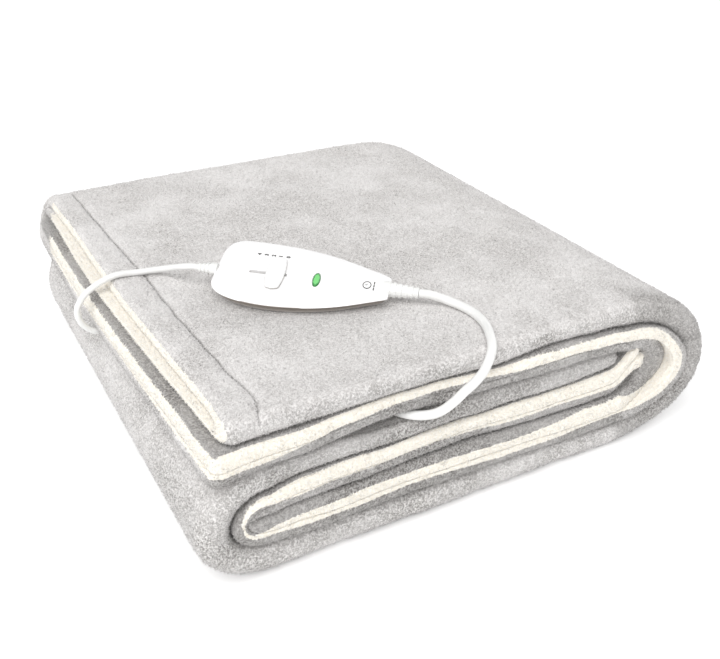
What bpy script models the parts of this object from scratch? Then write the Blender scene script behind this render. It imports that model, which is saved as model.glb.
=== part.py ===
"""Electric heated blanket, folded for storage, with its hand control, lead and mains plug.

The blanket is one cloth, grey plush outside and cream plush inside. It is folded in half along
its length, cream inside, and in half again, so one strip of four plies has a closed fold and two
hems at the front. The strip is then rolled flat in thirds: over the top, round the right-hand
turn, back along the floor, round the tight left-hand turn and between the two.

Metres, +Z up, front of the folded blanket towards -Y, origin at the middle of its underside.
"""
from collections import namedtuple
from math import cos, hypot, pi, radians, sin, tan

import bmesh
import bpy
from mathutils import Matrix, Vector

# ---------------------------------------------------------------- driving dimensions: blanket
DEPTH = 0.450             # front folds to back folds
PLY = 0.008               # thickness of the one cloth
FOLD_SPACE = 0.001        # from the strip's fold line to the plies on each side of it
HEM_OVERHANG = 0.004      # how far the hems stand in front of the closed fold
UNDER_HEM_LEFT = 0.019    # how far the lowest hem stands out past the top one on the left
UNDER_HEM_RIGHT = 0.022   # the same at the strip's other end, inside the right-hand turn
FOLD_SHARE = 0.55         # how much of that is left at the front and back folds
LEFT_DRAW = 0.011         # how far the left-hand turn is drawn in at the back
LEFT_DRAW_RUN = 0.150     # the drawing in fades out over this length of the lower runs

# The strip's three runs, in the order of the cloth. fold_z is the height of the fold line
# between the outer pair of plies and the inner pair; outer and inner are the pairs' thicknesses.
Run = namedtuple("Run", "name x_from x_to fold_z outer inner_from inner_to")
RUNS = (
    Run("top",    0.000, 0.345, 0.1195, 0.0185, 0.0220, 0.0220),
    Run("bottom", 0.345, 0.026, 0.0205, 0.0205, 0.0285, 0.0260),
    Run("middle", 0.026, 0.338, 0.0745, 0.0195, 0.0240, 0.0240),
)
# The half turns that join them: how far the fold line reaches past the run's end.
Turn = namedtuple("Turn", "name side reach steps")
TURNS = (
    Turn("right", 1, 0.0715, 14),
    Turn("left", -1, 0.0270, 12),
)

# The ply under the hand control's mains cord is lifted to let the cord through the roll.
CHANNEL_X = 0.126         # middle of the channel
CHANNEL_FLAT = 0.030      # half of its level width
CHANNEL_RAMP = 0.030      # width of the slope on each side
CHANNEL_LIFT = 0.0046

# ------------------------------------------------------------ driving dimensions: hand control
CONTROL_LENGTH = 0.140
CONTROL_PLACE = Vector((0.1200, 0.1390, 0.1515))   # middle of the parting line
CONTROL_TURN = radians(-39.0)                      # its long axis, from +X
CONTROL_TIP = radians(9.5)                         # tipped towards the front on the soft cloth
CONTROL_DIP = radians(-2.0)                        # mains end slightly lower
FACE_RISE = radians(4.9)                           # the face rises from its front edge
UPPER_HEIGHT = 0.0062                              # parting line to the middle of the face
LOWER_HEIGHT = 0.0130
PARTING = 0.0003

# Half widths of the control along its length, from the lead's end to the mains cord's end.
Width = namedtuple("Width", "along half")
WIDTHS = (
    Width(-0.0700, 0.0160),
    Width(-0.0685, 0.0225),
    Width(-0.0650, 0.0275),
    Width(-0.0580, 0.0315),
    Width(-0.0470, 0.0340),
    Width(-0.0330, 0.0352),
    Width(-0.0180, 0.0353),
    Width(-0.0020, 0.0342),
    Width(0.0140, 0.0318),
    Width(0.0290, 0.0280),
    Width(0.0430, 0.0232),
    Width(0.0550, 0.0180),
    Width(0.0640, 0.0150),
    Width(0.0682, 0.0130),
    Width(0.0700, 0.0100),
)
# Rings of each shell, from the parting line outwards: height and how far in the outline is set.
Ring = namedtuple("Ring", "height inset")
UPPER_RINGS = (
    Ring(0.0000, 0.0000),
    Ring(0.0022, 0.0002),
    Ring(0.0042, 0.0011),
    Ring(0.0053, 0.0028),
    Ring(UPPER_HEIGHT, 0.0055),
)
LOWER_RINGS = (
    Ring(0.0000, 0.0008),
    Ring(0.0040, 0.0020),
    Ring(0.0080, 0.0050),
    Ring(0.0110, 0.0095),
    Ring(LOWER_HEIGHT, 0.0150),
)

SLOT_FROM, SLOT_TO = -0.0390, -0.0090    # along the control
SLOT_WIDTH = 0.0050
SLOT_DEPTH = 0.0035
SLOT_ACROSS = -0.0037                    # the slot's middle, towards the back

STEP_PITCH = 0.0058                      # between two of the five settings
SETTING_SHOWN = 3                        # the knob stands at the fourth
FIRST_SETTING = -0.0356
KNOB_LENGTH = 0.0150
KNOB_WIDTH = 0.0370
KNOB_HEIGHT = 0.0030
KNOB_ROUND = 0.0014                      # its upper edge drawn in
KNOB_WAIST_RIGHT = 0.30                  # how much narrower its tips are than its middle
KNOB_WAIST_LEFT = 0.45
KNOB_STEM = 0.0060
KNOB_SLIT = 0.0003                       # knob to face, stem to slot

LAMP_ALONG, LAMP_ACROSS = 0.0145, -0.0058
LAMP_HALF_ALONG, LAMP_HALF_ACROSS = 0.0029, 0.0080
LAMP_RIM = 0.0003
LAMP_DEPTH = 0.0015
LAMP_PROUD = 0.0004
LAMP_ROUND = 0.0006                      # its upper edge drawn in

# --------------------------------------------------------------------- driving dimensions: cords
GAP = 0.0003              # between pieces that touch
LEAD_DIAMETER = 0.0052
MAINS_DIAMETER = 0.0070
TUBE_SIDES = 3            # bevel resolution: ten sides
ROUTE_SPACING = 2.4       # diameters between a tube's route points

# A sleeve's length outside its housing, its radius at the root and at the tip, and its ribs.
Relief = namedtuple("Relief", "length root tip ribs")
LEAD_RELIEF = Relief(0.011, 0.0052, 0.0036, 3)
MAINS_RELIEF = Relief(0.024, 0.0066, 0.0043, 5)
PLUG_RELIEF = Relief(0.022, 0.0058, 0.0043, 4)
RIB_DEPTH = 0.0007
SOCKET = 0.0040           # how far a sleeve goes into the control

COIL_CENTRE = Vector((0.275, 0.580, 0.0))
COIL_RADIUS = 0.0385      # middle of the turns
COIL_WIDE = 2             # turns side by side
COIL_HIGH = 3             # layers

PLUG_LENGTH, PLUG_WIDTH, PLUG_THICK = 0.0375, 0.0353, 0.0137
PLUG_NECK = 0.0200
PIN_LENGTH, PIN_DIAMETER, PIN_SPACING = 0.0190, 0.0040, 0.0190
PLUG_PLACE = Vector((0.092, 0.612, PLUG_THICK / 2 + GAP))

GREY = (0.60, 0.58, 0.57)
WHITE = (0.86, 0.86, 0.85)
CORD_WHITE = (0.84, 0.84, 0.82)
GREEN = (0.10, 0.62, 0.20)
BRASS = (0.80, 0.78, 0.72)


# ------------------------------------------------------------------------------ shared helpers
def clear_scene():
    for item in list(bpy.data.objects):
        bpy.data.objects.remove(item, do_unlink=True)


def make_material(name, colour, roughness, metallic=0.0):
    material = bpy.data.materials.new(name)
    material.use_nodes = True
    shader = material.node_tree.nodes["Principled BSDF"]
    shader.inputs["Base Color"].default_value = (*colour, 1.0)
    shader.inputs["Roughness"].default_value = roughness
    shader.inputs["Metallic"].default_value = metallic
    return material


def add_object(name, data, material):
    item = bpy.data.objects.new(name, data)
    bpy.context.scene.collection.objects.link(item)
    item.data.materials.append(material)
    return item


def add_mesh(name, bm, material, smooth_angle=40.0):
    bmesh.ops.recalc_face_normals(bm, faces=bm.faces)
    mesh = bpy.data.meshes.new(name)
    bm.to_mesh(mesh)
    bm.free()
    mesh.shade_smooth()
    mesh.set_sharp_from_angle(angle=radians(smooth_angle))
    return add_object(name, mesh, material)


def loft(rings, closed_rings=True):
    """A closed body through rings of points that match one another; both ends are capped."""
    bm = bmesh.new()
    rows = [[bm.verts.new(point) for point in ring] for ring in rings]
    count = len(rows[0])
    for row, following in zip(rows, rows[1:]):
        for i in range(count):
            j = (i + 1) % count
            bm.faces.new((row[i], row[j], following[j], following[i]))
    if closed_rings:
        bm.faces.new(rows[0])
        bm.faces.new(rows[-1])
    return bm, rows


def blend(a, b, t):
    return a + (b - a) * t


def ease(t):
    t = min(max(t, 0.0), 1.0)
    return t * t * (3 - 2 * t)


# ------------------------------------------------------------------------------------- blanket
Station = namedtuple("Station", "x z out_x out_z outer inner lift slim skew draw")
HEM_INSET = 0.0030        # the last stretch at a free end, where the cloth's edge rounds off
HEM_SLIM = 0.55           # how thin the cloth is at its very edge
SKEW_RUN = 0.040          # the under hems' overhang fades out over this length


def channel_lift(x):
    away = abs(x - CHANNEL_X) - CHANNEL_FLAT
    return CHANNEL_LIFT * (1 - ease(away / CHANNEL_RAMP))


def channel_stations():
    """Where the top run needs stations for its channel."""
    edges = (CHANNEL_FLAT + CHANNEL_RAMP, CHANNEL_FLAT + CHANNEL_RAMP / 2, CHANNEL_FLAT)
    return [CHANNEL_X - e for e in edges] + [CHANNEL_X + e for e in reversed(edges)]


def run_stations(run, along):
    """Stations of one run at the given places; the outside of the roll is up or down."""
    heading = 1 if run.x_to > run.x_from else -1
    stations = []
    for x in along:
        t = (x - run.x_from) / (run.x_to - run.x_from)
        inner = blend(run.inner_from, run.inner_to, t)
        lift, draw = 0.0, 0.0
        if run.name == "top":
            lift = channel_lift(x)
        else:
            draw = ease(1 - (x - RUNS[1].x_to) / LEFT_DRAW_RUN)
        stations.append(Station(x, run.fold_z, 0.0, heading, run.outer, inner, lift,
                                1.0, 0.0, draw))
    return stations


def turn_stations(turn, before, after):
    """Stations of a half turn, on a half ellipse from one run's end to the next one's start."""
    centre_z = (before.fold_z + after.fold_z) / 2
    half_height = (before.fold_z - after.fold_z) / 2
    stations = []
    for i in range(1, turn.steps):
        t = i / turn.steps
        angle = pi * t
        x = before.x_to + turn.side * turn.reach * sin(angle)
        z = centre_z + half_height * cos(angle)
        out = Vector((turn.side * abs(half_height) * sin(angle), 0.0,
                      turn.reach * cos(angle) * (1 if half_height > 0 else -1))).normalized()
        outer = blend(before.outer, after.outer, t)
        inner = blend(before.inner_to, after.inner_from, t)
        draw = 1.0 if turn.side < 0 else 0.0
        stations.append(Station(x, z, out.x, out.z, outer, inner, 0.0, 1.0, 0.0, draw))
    return stations


def strip_stations():
    """Every station of the rolled strip, from the top left hems to the inner right ones."""
    top, bottom, middle = RUNS
    top_along = [top.x_from, top.x_from + HEM_INSET, SKEW_RUN, *channel_stations(), top.x_to]
    stations = run_stations(top, top_along)
    stations += turn_stations(TURNS[0], top, bottom)
    stations += run_stations(bottom, [blend(bottom.x_from, bottom.x_to, t) for t in (0, 0.5, 1)])
    stations += turn_stations(TURNS[1], bottom, middle)
    middle_along = [middle.x_from, blend(middle.x_from, middle.x_to, 0.5),
                    middle.x_to - SKEW_RUN, middle.x_to - HEM_INSET, middle.x_to]
    stations += run_stations(middle, middle_along)

    stations[0] = stations[0]._replace(slim=HEM_SLIM, skew=-UNDER_HEM_LEFT)
    stations[1] = stations[1]._replace(skew=-UNDER_HEM_LEFT)
    stations[-2] = stations[-2]._replace(skew=UNDER_HEM_RIGHT)
    stations[-1] = stations[-1]._replace(slim=HEM_SLIM, skew=UNDER_HEM_RIGHT)
    return stations


def half_round(centre_y, level_from, level_to, side, steps):
    """Points of a fold between two plies, as (y, n), without the two ends."""
    radius = abs(level_to - level_from) / 2
    middle = (level_from + level_to) / 2
    points = []
    for i in range(1, steps):
        angle = pi * i / steps
        n = middle + (level_from - middle) * cos(angle)
        points.append((centre_y + side * radius * sin(angle), n))
    return points


def ply_line(station):
    """The middle of the cloth across the strip: hem, under ply, back, top ply, front fold,
    second ply, back, third ply, hem. Points are (y, n), n outwards from the fold line."""
    half = PLY / 2
    first = station.outer - half
    second = FOLD_SPACE + half
    third = -FOLD_SPACE - half
    fourth = -station.inner + half + station.lift

    back_radius = (first - fourth) / 2
    back_y = DEPTH - half - back_radius
    front_y = half + (first - second) / 2
    hem_y = half - HEM_OVERHANG

    line = [(hem_y, fourth), (DEPTH / 2, fourth), (back_y, fourth)]
    line += half_round(back_y, fourth, first, 1, 9)
    line += [(back_y, first), (DEPTH / 2, first), (front_y, first)]
    line += half_round(front_y, first, second, -1, 6)
    line += [(front_y, second), (back_y, second)]
    line += half_round(back_y, second, third, 1, 6)
    line += [(back_y, third), (hem_y, third)]
    return line


def ply_sides(line, half):
    """The cloth's two faces and its two rounded hems, from the middle line."""
    left, right, ends = [], [], []
    for i, (y, n) in enumerate(line):
        before = line[max(i - 1, 0)]
        after = line[min(i + 1, len(line) - 1)]
        length = hypot(after[0] - before[0], after[1] - before[1])
        along_y, along_n = (after[0] - before[0]) / length, (after[1] - before[1]) / length
        left.append((y - along_n * half, n + along_y * half))
        right.append((y + along_n * half, n - along_y * half))
    for tip, side in ((line[0], -1), (line[-1], -1)):
        ends.append((tip[0] + side * half, tip[1]))
    return left, right, ends


def blanket_ring(station):
    """The strip's section at one station: the points of the left face, a hem, the right face
    and the other hem."""
    line = ply_line(station)
    left, right, ends = ply_sides(line, PLY / 2 * station.slim)
    section = left + [ends[1]] + right[::-1] + [ends[0]]
    levels = [n for _, n in line]
    levels += [levels[-1]] + levels[::-1] + [levels[0]]
    highest, lowest = station.outer - PLY / 2, PLY / 2 - station.inner
    ring = []
    for (y, n), level in zip(section, levels):
        under = min(max((highest - level) / (highest - lowest), 0.0), 1.0) ** 0.5
        share = blend(FOLD_SHARE, 1.0, ease(min(y, DEPTH - y) / SKEW_RUN))
        x = station.x + n * station.out_x + station.skew * under * share
        x += LEFT_DRAW * station.draw * max(y, 0.0) / DEPTH
        z = station.z + n * station.out_z
        ring.append(Vector((x, y, z)))
    return ring


def make_blanket(material):
    rings = [blanket_ring(station) for station in strip_stations()]
    bm, rows = loft(rings, closed_rings=False)
    plies = (len(rows[0]) - 2) // 2
    for row in (rows[0], rows[-1]):
        left, hem, right, first_hem = row[:plies], row[plies], row[plies + 1:-1][::-1], row[-1]
        for i in range(plies - 1):
            bm.faces.new((left[i], left[i + 1], right[i + 1], right[i]))
        bm.faces.new((left[-1], hem, right[-1]))
        bm.faces.new((left[0], right[0], first_hem))
    return add_mesh("blanket", bm, material)


def cloth_top():
    """Height of the folded blanket's upper face."""
    return RUNS[0].fold_z + RUNS[0].outer


def blanket_middle():
    """Where the blanket's box has its middle, in plan, before the part is centred."""
    points = [point for station in strip_stations() for point in blanket_ring(station)]
    xs = [point.x for point in points]
    ys = [point.y for point in points]
    return Vector(((min(xs) + max(xs)) / 2, (min(ys) + max(ys)) / 2, 0.0))


# -------------------------------------------------------------------------------- hand control
def control_frame():
    """The control's axes at its parting line: X to the mains end, Y to the back, Z up."""
    along = Vector((cos(CONTROL_TURN), sin(CONTROL_TURN), 0.0))
    back = Vector((-along.y, along.x, 0.0))
    turn = Matrix((along, back, Vector((0.0, 0.0, 1.0)))).transposed()
    tip = Matrix.Rotation(CONTROL_TIP, 3, "X") @ Matrix.Rotation(-CONTROL_DIP, 3, "Y")
    return Matrix.Translation(CONTROL_PLACE) @ (turn @ tip).to_4x4()


def face_frame():
    """The same axes on the sloping face, where the knob and the lamp are."""
    return (control_frame() @ Matrix.Translation((0.0, 0.0, UPPER_HEIGHT))
            @ Matrix.Rotation(FACE_RISE, 4, "X"))


def outline(inset):
    """The control's plan outline, drawn in by inset, as points that match from ring to ring."""
    shrink = 1 - inset / (CONTROL_LENGTH / 2)
    far = [(w.along * shrink, max(w.half - inset, 0.0015)) for w in WIDTHS]
    near = [(x, -y) for x, y in reversed(far)]
    return near + far


def shell(name, rings, side, rise, material):
    """A shell from its rings; rise slopes each ring in proportion to its height."""
    levels = []
    for ring in rings:
        slope = tan(rise) * ring.height / rings[-1].height
        levels.append([Vector((x, y, side * ring.height + slope * y))
                       for x, y in outline(ring.inset)])
    bm, _ = loft(levels)
    return add_mesh(name, bm, material, smooth_angle=50.0)


def box_cutter(name, low, high):
    bm = bmesh.new()
    bmesh.ops.create_cube(bm, size=1.0)
    for vert in bm.verts:
        for axis in range(3):
            vert.co[axis] = low[axis] if vert.co[axis] < 0 else high[axis]
    mesh = bpy.data.meshes.new(name)
    bm.to_mesh(mesh)
    bm.free()
    return add_cutter(name, mesh)


def add_cutter(name, mesh):
    cutter = bpy.data.objects.new(name, mesh)
    bpy.context.scene.collection.objects.link(cutter)
    cutter.hide_render = True
    cutter.display_type = "WIRE"
    return cutter


def oval(half_along, half_across, height, steps=20):
    return [Vector((LAMP_ALONG + half_along * cos(2 * pi * i / steps),
                    LAMP_ACROSS + half_across * sin(2 * pi * i / steps), height))
            for i in range(steps)]


def cut(item, cutter):
    modifier = item.modifiers.new("cut_" + cutter.name, "BOOLEAN")
    modifier.operation = "DIFFERENCE"
    modifier.object = cutter


def make_upper_shell(frame, material):
    upper = shell("shell_upper", UPPER_RINGS, 1, FACE_RISE, material)
    slot = box_cutter("cutter_slot",
                      (SLOT_FROM, SLOT_ACROSS - SLOT_WIDTH / 2, -SLOT_DEPTH),
                      (SLOT_TO, SLOT_ACROSS + SLOT_WIDTH / 2, SLOT_DEPTH))
    seat_bm, _ = loft([oval(LAMP_HALF_ALONG + LAMP_RIM, LAMP_HALF_ACROSS + LAMP_RIM, height)
                       for height in (-LAMP_DEPTH, LAMP_DEPTH)])
    seat_mesh = bpy.data.meshes.new("cutter_lamp")
    bmesh.ops.recalc_face_normals(seat_bm, faces=seat_bm.faces)
    seat_bm.to_mesh(seat_mesh)
    seat_bm.free()
    seat = add_cutter("cutter_lamp", seat_mesh)
    upper.matrix_world = frame
    for cutter in (slot, seat):
        cut(upper, cutter)
        cutter.matrix_world = face_frame()
    return upper


def make_lower_shell(frame, material):
    """The back shell, with the flat spot on which it rests on the cloth."""
    lower = shell("shell_lower", LOWER_RINGS, -1, 0.0, material)
    lower.matrix_world = frame @ Matrix.Translation((0.0, 0.0, -PARTING))
    mesh = lower.data
    bm = bmesh.new()
    bm.from_mesh(mesh)
    rest = lower.matrix_world.inverted()
    plane_point = rest @ Vector((CONTROL_PLACE.x, CONTROL_PLACE.y, cloth_top() + GAP))
    plane_up = (rest.to_3x3() @ Vector((0.0, 0.0, 1.0))).normalized()
    cut_parts = bmesh.ops.bisect_plane(bm, geom=bm.verts[:] + bm.edges[:] + bm.faces[:],
                                       plane_co=plane_point, plane_no=plane_up,
                                       clear_inner=True, dist=1e-6)
    edges = [part for part in cut_parts["geom_cut"] if isinstance(part, bmesh.types.BMEdge)]
    if edges:
        bmesh.ops.contextual_create(bm, geom=edges)
    bmesh.ops.recalc_face_normals(bm, faces=bm.faces)
    bm.to_mesh(mesh)
    bm.free()
    return lower


def make_knob(material):
    """The heat setting's knob: a waisted thumb pad over the face and a stem in the slot."""
    knob_along = FIRST_SETTING + SETTING_SHOWN * STEP_PITCH
    levels = ((KNOB_SLIT, 0.0), (KNOB_HEIGHT - KNOB_ROUND, 0.0), (KNOB_HEIGHT, KNOB_ROUND))
    steps = 10
    rings = []
    for height, inset in levels:
        ring = []
        for side, waist in ((1, KNOB_WAIST_RIGHT), (-1, KNOB_WAIST_LEFT)):
            for i in range(steps + 1):
                t = side * (2 * i / steps - 1)
                half = (KNOB_LENGTH / 2 - inset) * (1 - waist * t * t)
                ring.append(Vector((side * half, t * (KNOB_WIDTH / 2 - inset), height)))
        rings.append(ring)
    bm, _ = loft(rings)
    pad = add_mesh("slider_knob", bm, material, smooth_angle=50.0)

    stem_half = SLOT_WIDTH / 2 - KNOB_SLIT
    stem = box_cutter("cutter_stem",
                      (-KNOB_STEM / 2, -stem_half, -SLOT_DEPTH + KNOB_SLIT),
                      (KNOB_STEM / 2, stem_half, KNOB_HEIGHT / 2))
    join = pad.modifiers.new("stem", "BOOLEAN")
    join.operation = "UNION"
    join.object = stem
    place = face_frame() @ Matrix.Translation((knob_along, SLOT_ACROSS, 0.0))
    pad.matrix_world = place
    stem.matrix_world = place
    return pad


def make_lamp(material):
    levels = ((LAMP_RIM - LAMP_DEPTH, 0.0), (0.0, 0.0), (LAMP_PROUD, LAMP_ROUND))
    bm, _ = loft([oval(LAMP_HALF_ALONG - inset, LAMP_HALF_ACROSS - inset, level)
                  for level, inset in levels])
    lamp = add_mesh("lamp_window", bm, material)
    lamp.matrix_world = face_frame()
    return lamp


def make_relief(name, relief, place, material, socket=0.0):
    """A tapered, ribbed sleeve along +X, from its housing at the place given."""
    steps_round = 14
    profile = [(-socket, relief.root), (0.0, relief.root)] if socket else [(0.0, relief.root)]
    pitch = relief.length / (relief.ribs + 0.4)
    for i in range(relief.ribs):
        for along, depth in ((0.40, 0.0), (0.45, RIB_DEPTH), (0.85, RIB_DEPTH), (0.90, 0.0)):
            x = (i + along) * pitch
            profile.append((x, blend(relief.root, relief.tip, x / relief.length) - depth))
    profile.append((relief.length, relief.tip))
    bm, _ = loft([[Vector((x, r * cos(2 * pi * i / steps_round), r * sin(2 * pi * i / steps_round)))
                   for i in range(steps_round)] for x, r in profile])
    item = add_mesh(name, bm, material)
    item.matrix_world = place
    return item


def cut_socket(name, relief, place, shells):
    """The round hole, half in each shell, that a sleeve sits in."""
    bm = bmesh.new()
    depth = SOCKET + GAP
    radius = relief.root + GAP
    bmesh.ops.create_cone(bm, cap_ends=True, segments=20, depth=2 * depth,
                          radius1=radius, radius2=radius, matrix=Matrix.Rotation(pi / 2, 4, "Y"))
    mesh = bpy.data.meshes.new(name)
    bm.to_mesh(mesh)
    bm.free()
    cutter = add_cutter(name, mesh)
    cutter.matrix_world = place
    for item in shells:
        cut(item, cutter)


def control_ends(frame):
    """Places of the two sleeves, each with +X out of the control."""
    half = CONTROL_LENGTH / 2
    lead = frame @ Matrix.Translation((-half, 0.0, 0.0)) @ Matrix.Rotation(pi, 4, "Z")
    mains = frame @ Matrix.Translation((half, 0.0, 0.0))
    return lead, mains


# --------------------------------------------------------------------------------------- cords
def smooth_route(points, spacing):
    """A straight first stretch, then a smooth curve through the route's other points, read at
    an even spacing."""
    dense = []
    ends = [*points, points[-1] * 2 - points[-2]]
    for p0, p1, p2, p3 in zip(ends, ends[1:], ends[2:], ends[3:]):
        reach = (p2 - p1).length
        into = (p2 - p0).normalized() * reach
        away = (p3 - p1).normalized() * reach
        for i in range(24):
            t = i / 24
            dense.append(p1 * (2 * t ** 3 - 3 * t ** 2 + 1) + into * (t ** 3 - 2 * t ** 2 + t)
                         + p2 * (-2 * t ** 3 + 3 * t ** 2) + away * (t ** 3 - t ** 2))
    dense.append(points[-1])
    length = sum((b - a).length for a, b in zip(dense, dense[1:]))
    count = max(2, round(length / spacing))
    route, travelled, wanted = [points[0], dense[0]], 0.0, length / count
    for a, b in zip(dense, dense[1:]):
        piece = (b - a).length
        while travelled + piece >= wanted and len(route) <= count:
            route.append(a.lerp(b, (wanted - travelled) / piece))
            wanted += length / count
        travelled += piece
    route.append(dense[-1])
    return route


def make_tube(name, points, diameter, material):
    route = smooth_route(points, ROUTE_SPACING * diameter)
    curve = bpy.data.curves.new(name, "CURVE")
    curve.dimensions = "3D"
    curve.bevel_depth = diameter / 2
    curve.bevel_resolution = TUBE_SIDES
    curve.use_fill_caps = True
    spline = curve.splines.new("POLY")
    spline.points.add(len(route) - 1)
    for spline_point, place in zip(spline.points, route):
        spline_point.co = (*place, 1.0)
    return add_object(name, curve, material)


def make_coil(material):
    """The outer shape of the wound lead: a turned ring of round-cornered section."""
    half_wide = COIL_WIDE * MAINS_DIAMETER / 2
    high = COIL_HIGH * MAINS_DIAMETER
    corner = MAINS_DIAMETER / 2
    section = [(-half_wide, corner), (-half_wide + corner, 0.0), (half_wide - corner, 0.0),
               (half_wide, corner), (half_wide, high - corner), (half_wide - corner, high),
               (-half_wide + corner, high), (-half_wide, high - corner)]
    bm = bmesh.new()
    verts = [bm.verts.new(Vector((COIL_RADIUS + r, 0.0, z + GAP))) for r, z in section]
    edges = [bm.edges.new((a, b)) for a, b in zip(verts, verts[1:] + verts[:1])]
    steps = 40
    bmesh.ops.spin(bm, geom=verts + edges, axis=(0, 0, 1), cent=(0, 0, 0), angle=2 * pi,
                   steps=steps, use_merge=True)
    bmesh.ops.remove_doubles(bm, verts=bm.verts, dist=1e-5)
    coil = add_mesh("mains_coil", bm, material)
    coil.location = COIL_CENTRE
    return coil


def make_plug(material, pin_material):
    """A flat two-pin plug lying on its side of the floor, pins towards -X."""
    half_wide, half_neck, half_thick = PLUG_WIDTH / 2, PLUG_NECK / 2, PLUG_THICK / 2
    Slice = namedtuple("Slice", "along wide thick")
    slices = (
        Slice(0.0, half_wide - 0.0012, half_thick - 0.0012),
        Slice(0.0012, half_wide, half_thick),
        Slice(0.0150, half_wide, half_thick),
        Slice(0.0260, half_wide - 0.0035, half_thick),
        Slice(0.0340, half_neck - 0.0010, half_thick - 0.0008),
        Slice(PLUG_LENGTH, half_neck - 0.0030, half_thick - 0.0016),
    )
    corner_steps = 3
    rings = []
    for piece in slices:
        ring = []
        radius = min(0.0045, piece.thick * 0.8)
        for quarter in range(4):
            side_y = 1 if quarter in (0, 3) else -1
            side_z = 1 if quarter in (0, 1) else -1
            for i in range(corner_steps + 1):
                angle = (quarter + i / corner_steps) * pi / 2
                ring.append(Vector((piece.along,
                                    side_y * (piece.wide - radius) + radius * cos(angle),
                                    side_z * (piece.thick - radius) + radius * sin(angle))))
        rings.append(ring)
    bm, _ = loft(rings)
    body = add_mesh("plug_body", bm, material)
    body.location = PLUG_PLACE
    for index, side in enumerate((-1, 1), start=1):
        pin_bm = bmesh.new()
        bmesh.ops.create_cone(pin_bm, cap_ends=True, segments=14, depth=PIN_LENGTH,
                              radius1=PIN_DIAMETER / 2, radius2=PIN_DIAMETER / 2,
                              matrix=Matrix.Rotation(pi / 2, 4, "Y"))
        pin = add_mesh("plug_pin_%d" % index, pin_bm, pin_material)
        pin.location = PLUG_PLACE + Vector((-PIN_LENGTH / 2 - GAP, side * PIN_SPACING / 2, 0.0))
    relief_place = PLUG_PLACE + Vector((PLUG_LENGTH + GAP, 0.0, 0.0))
    make_relief("plug_relief", PLUG_RELIEF, Matrix.Translation(relief_place), material)
    return relief_place + Vector((PLUG_RELIEF.length + GAP, 0.0, 0.0))


def lead_points(start, direction):
    """The lead to the blanket: along the top, out over the left hems and in under them."""
    cloth = cloth_top() + LEAD_DIAMETER / 2 + GAP
    return [
        start,
        start + direction * 0.008,
        Vector((0.0350, 0.2200, cloth + 0.0038)),
        Vector((0.0190, 0.2305, cloth)),
        Vector((0.0020, 0.2325, cloth + 0.0006)),
        Vector((-0.0120, 0.2335, cloth - 0.0035)),
        Vector((-0.0238, 0.2345, 0.1300)),
        Vector((-0.0308, 0.2350, 0.1210)),
        Vector((-0.0325, 0.2352, 0.1125)),
        Vector((-0.0295, 0.2352, 0.1030)),
        Vector((-0.0218, 0.2350, 0.0950)),
        Vector((-0.0120, 0.2350, 0.0930)),
        Vector((0.0010, 0.2350, 0.0936)),
    ]


def mains_points(start, direction):
    """The mains cord: round on the top, down over the front and through the roll to the back."""
    radius = MAINS_DIAMETER / 2
    cloth = cloth_top() + radius + GAP
    channel = RUNS[2].fold_z + RUNS[2].outer + radius + 2 * GAP
    floor = radius + GAP
    coil_x, coil_y = coil_meets_at(-1)
    return [
        start,
        start + direction * 0.008,
        Vector((0.2118, 0.0668, cloth + 0.0018)),
        Vector((0.2195, 0.0480, cloth)),
        Vector((0.2180, 0.0290, cloth)),
        Vector((0.2105, 0.0110, cloth + 0.0003)),
        Vector((0.2015, -0.0040, cloth - 0.0022)),
        Vector((0.1910, -0.0115, cloth - 0.0110)),
        Vector((0.1800, -0.0132, cloth - 0.0195)),
        Vector((0.1690, -0.0134, 0.1155)),
        Vector((0.1580, -0.0125, 0.1070)),
        Vector((0.1480, -0.0098, 0.1010)),
        Vector((0.1390, -0.0040, channel - 0.0002)),
        Vector((0.1310, 0.0060, channel)),
        Vector((0.1262, 0.0200, channel)),
        Vector((0.1245, 0.0400, channel)),
        Vector((0.1240, 0.1800, channel)),
        Vector((0.1240, 0.3000, channel)),
        Vector((0.1240, 0.4250, channel)),
        Vector((0.1240, 0.4400, channel)),
        Vector((0.1240, 0.4610, channel - 0.0090)),
        Vector((0.1240, 0.4700, channel - 0.0300)),
        Vector((0.1242, 0.4725, 0.0420)),
        Vector((0.1244, 0.4790, 0.0205)),
        Vector((0.1250, 0.4930, floor + 0.0035)),
        Vector((0.1275, 0.5100, floor)),
        Vector((0.1385, 0.5280, floor)),
        Vector((0.1620, coil_y - 0.0015, floor)),
        Vector((0.2000, coil_y, floor)),
        Vector((coil_x, coil_y, floor)),
    ]


def coil_meets_at(side):
    """Where a cord along X on the floor meets the ring's outside: side -1 is the front of it."""
    radius = MAINS_DIAMETER / 2
    outside = COIL_RADIUS + COIL_WIDE * radius
    cord_middle = outside - radius
    reach = (outside ** 2 - (cord_middle - radius) ** 2) ** 0.5
    return COIL_CENTRE.x - reach - 2 * GAP, COIL_CENTRE.y + side * cord_middle


def tail_points(plug_end):
    """The last stretch, from the ring to the plug's sleeve."""
    floor = MAINS_DIAMETER / 2 + GAP
    coil_x, coil_y = coil_meets_at(1)
    return [
        Vector((coil_x, coil_y, floor)),
        Vector((coil_x - 0.0250, coil_y, floor)),
        Vector((coil_x - 0.0550, blend(coil_y, plug_end.y, 0.5), blend(floor, plug_end.z, 0.5))),
        plug_end + Vector((0.0120, 0.0, 0.0)),
        plug_end,
    ]


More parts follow.
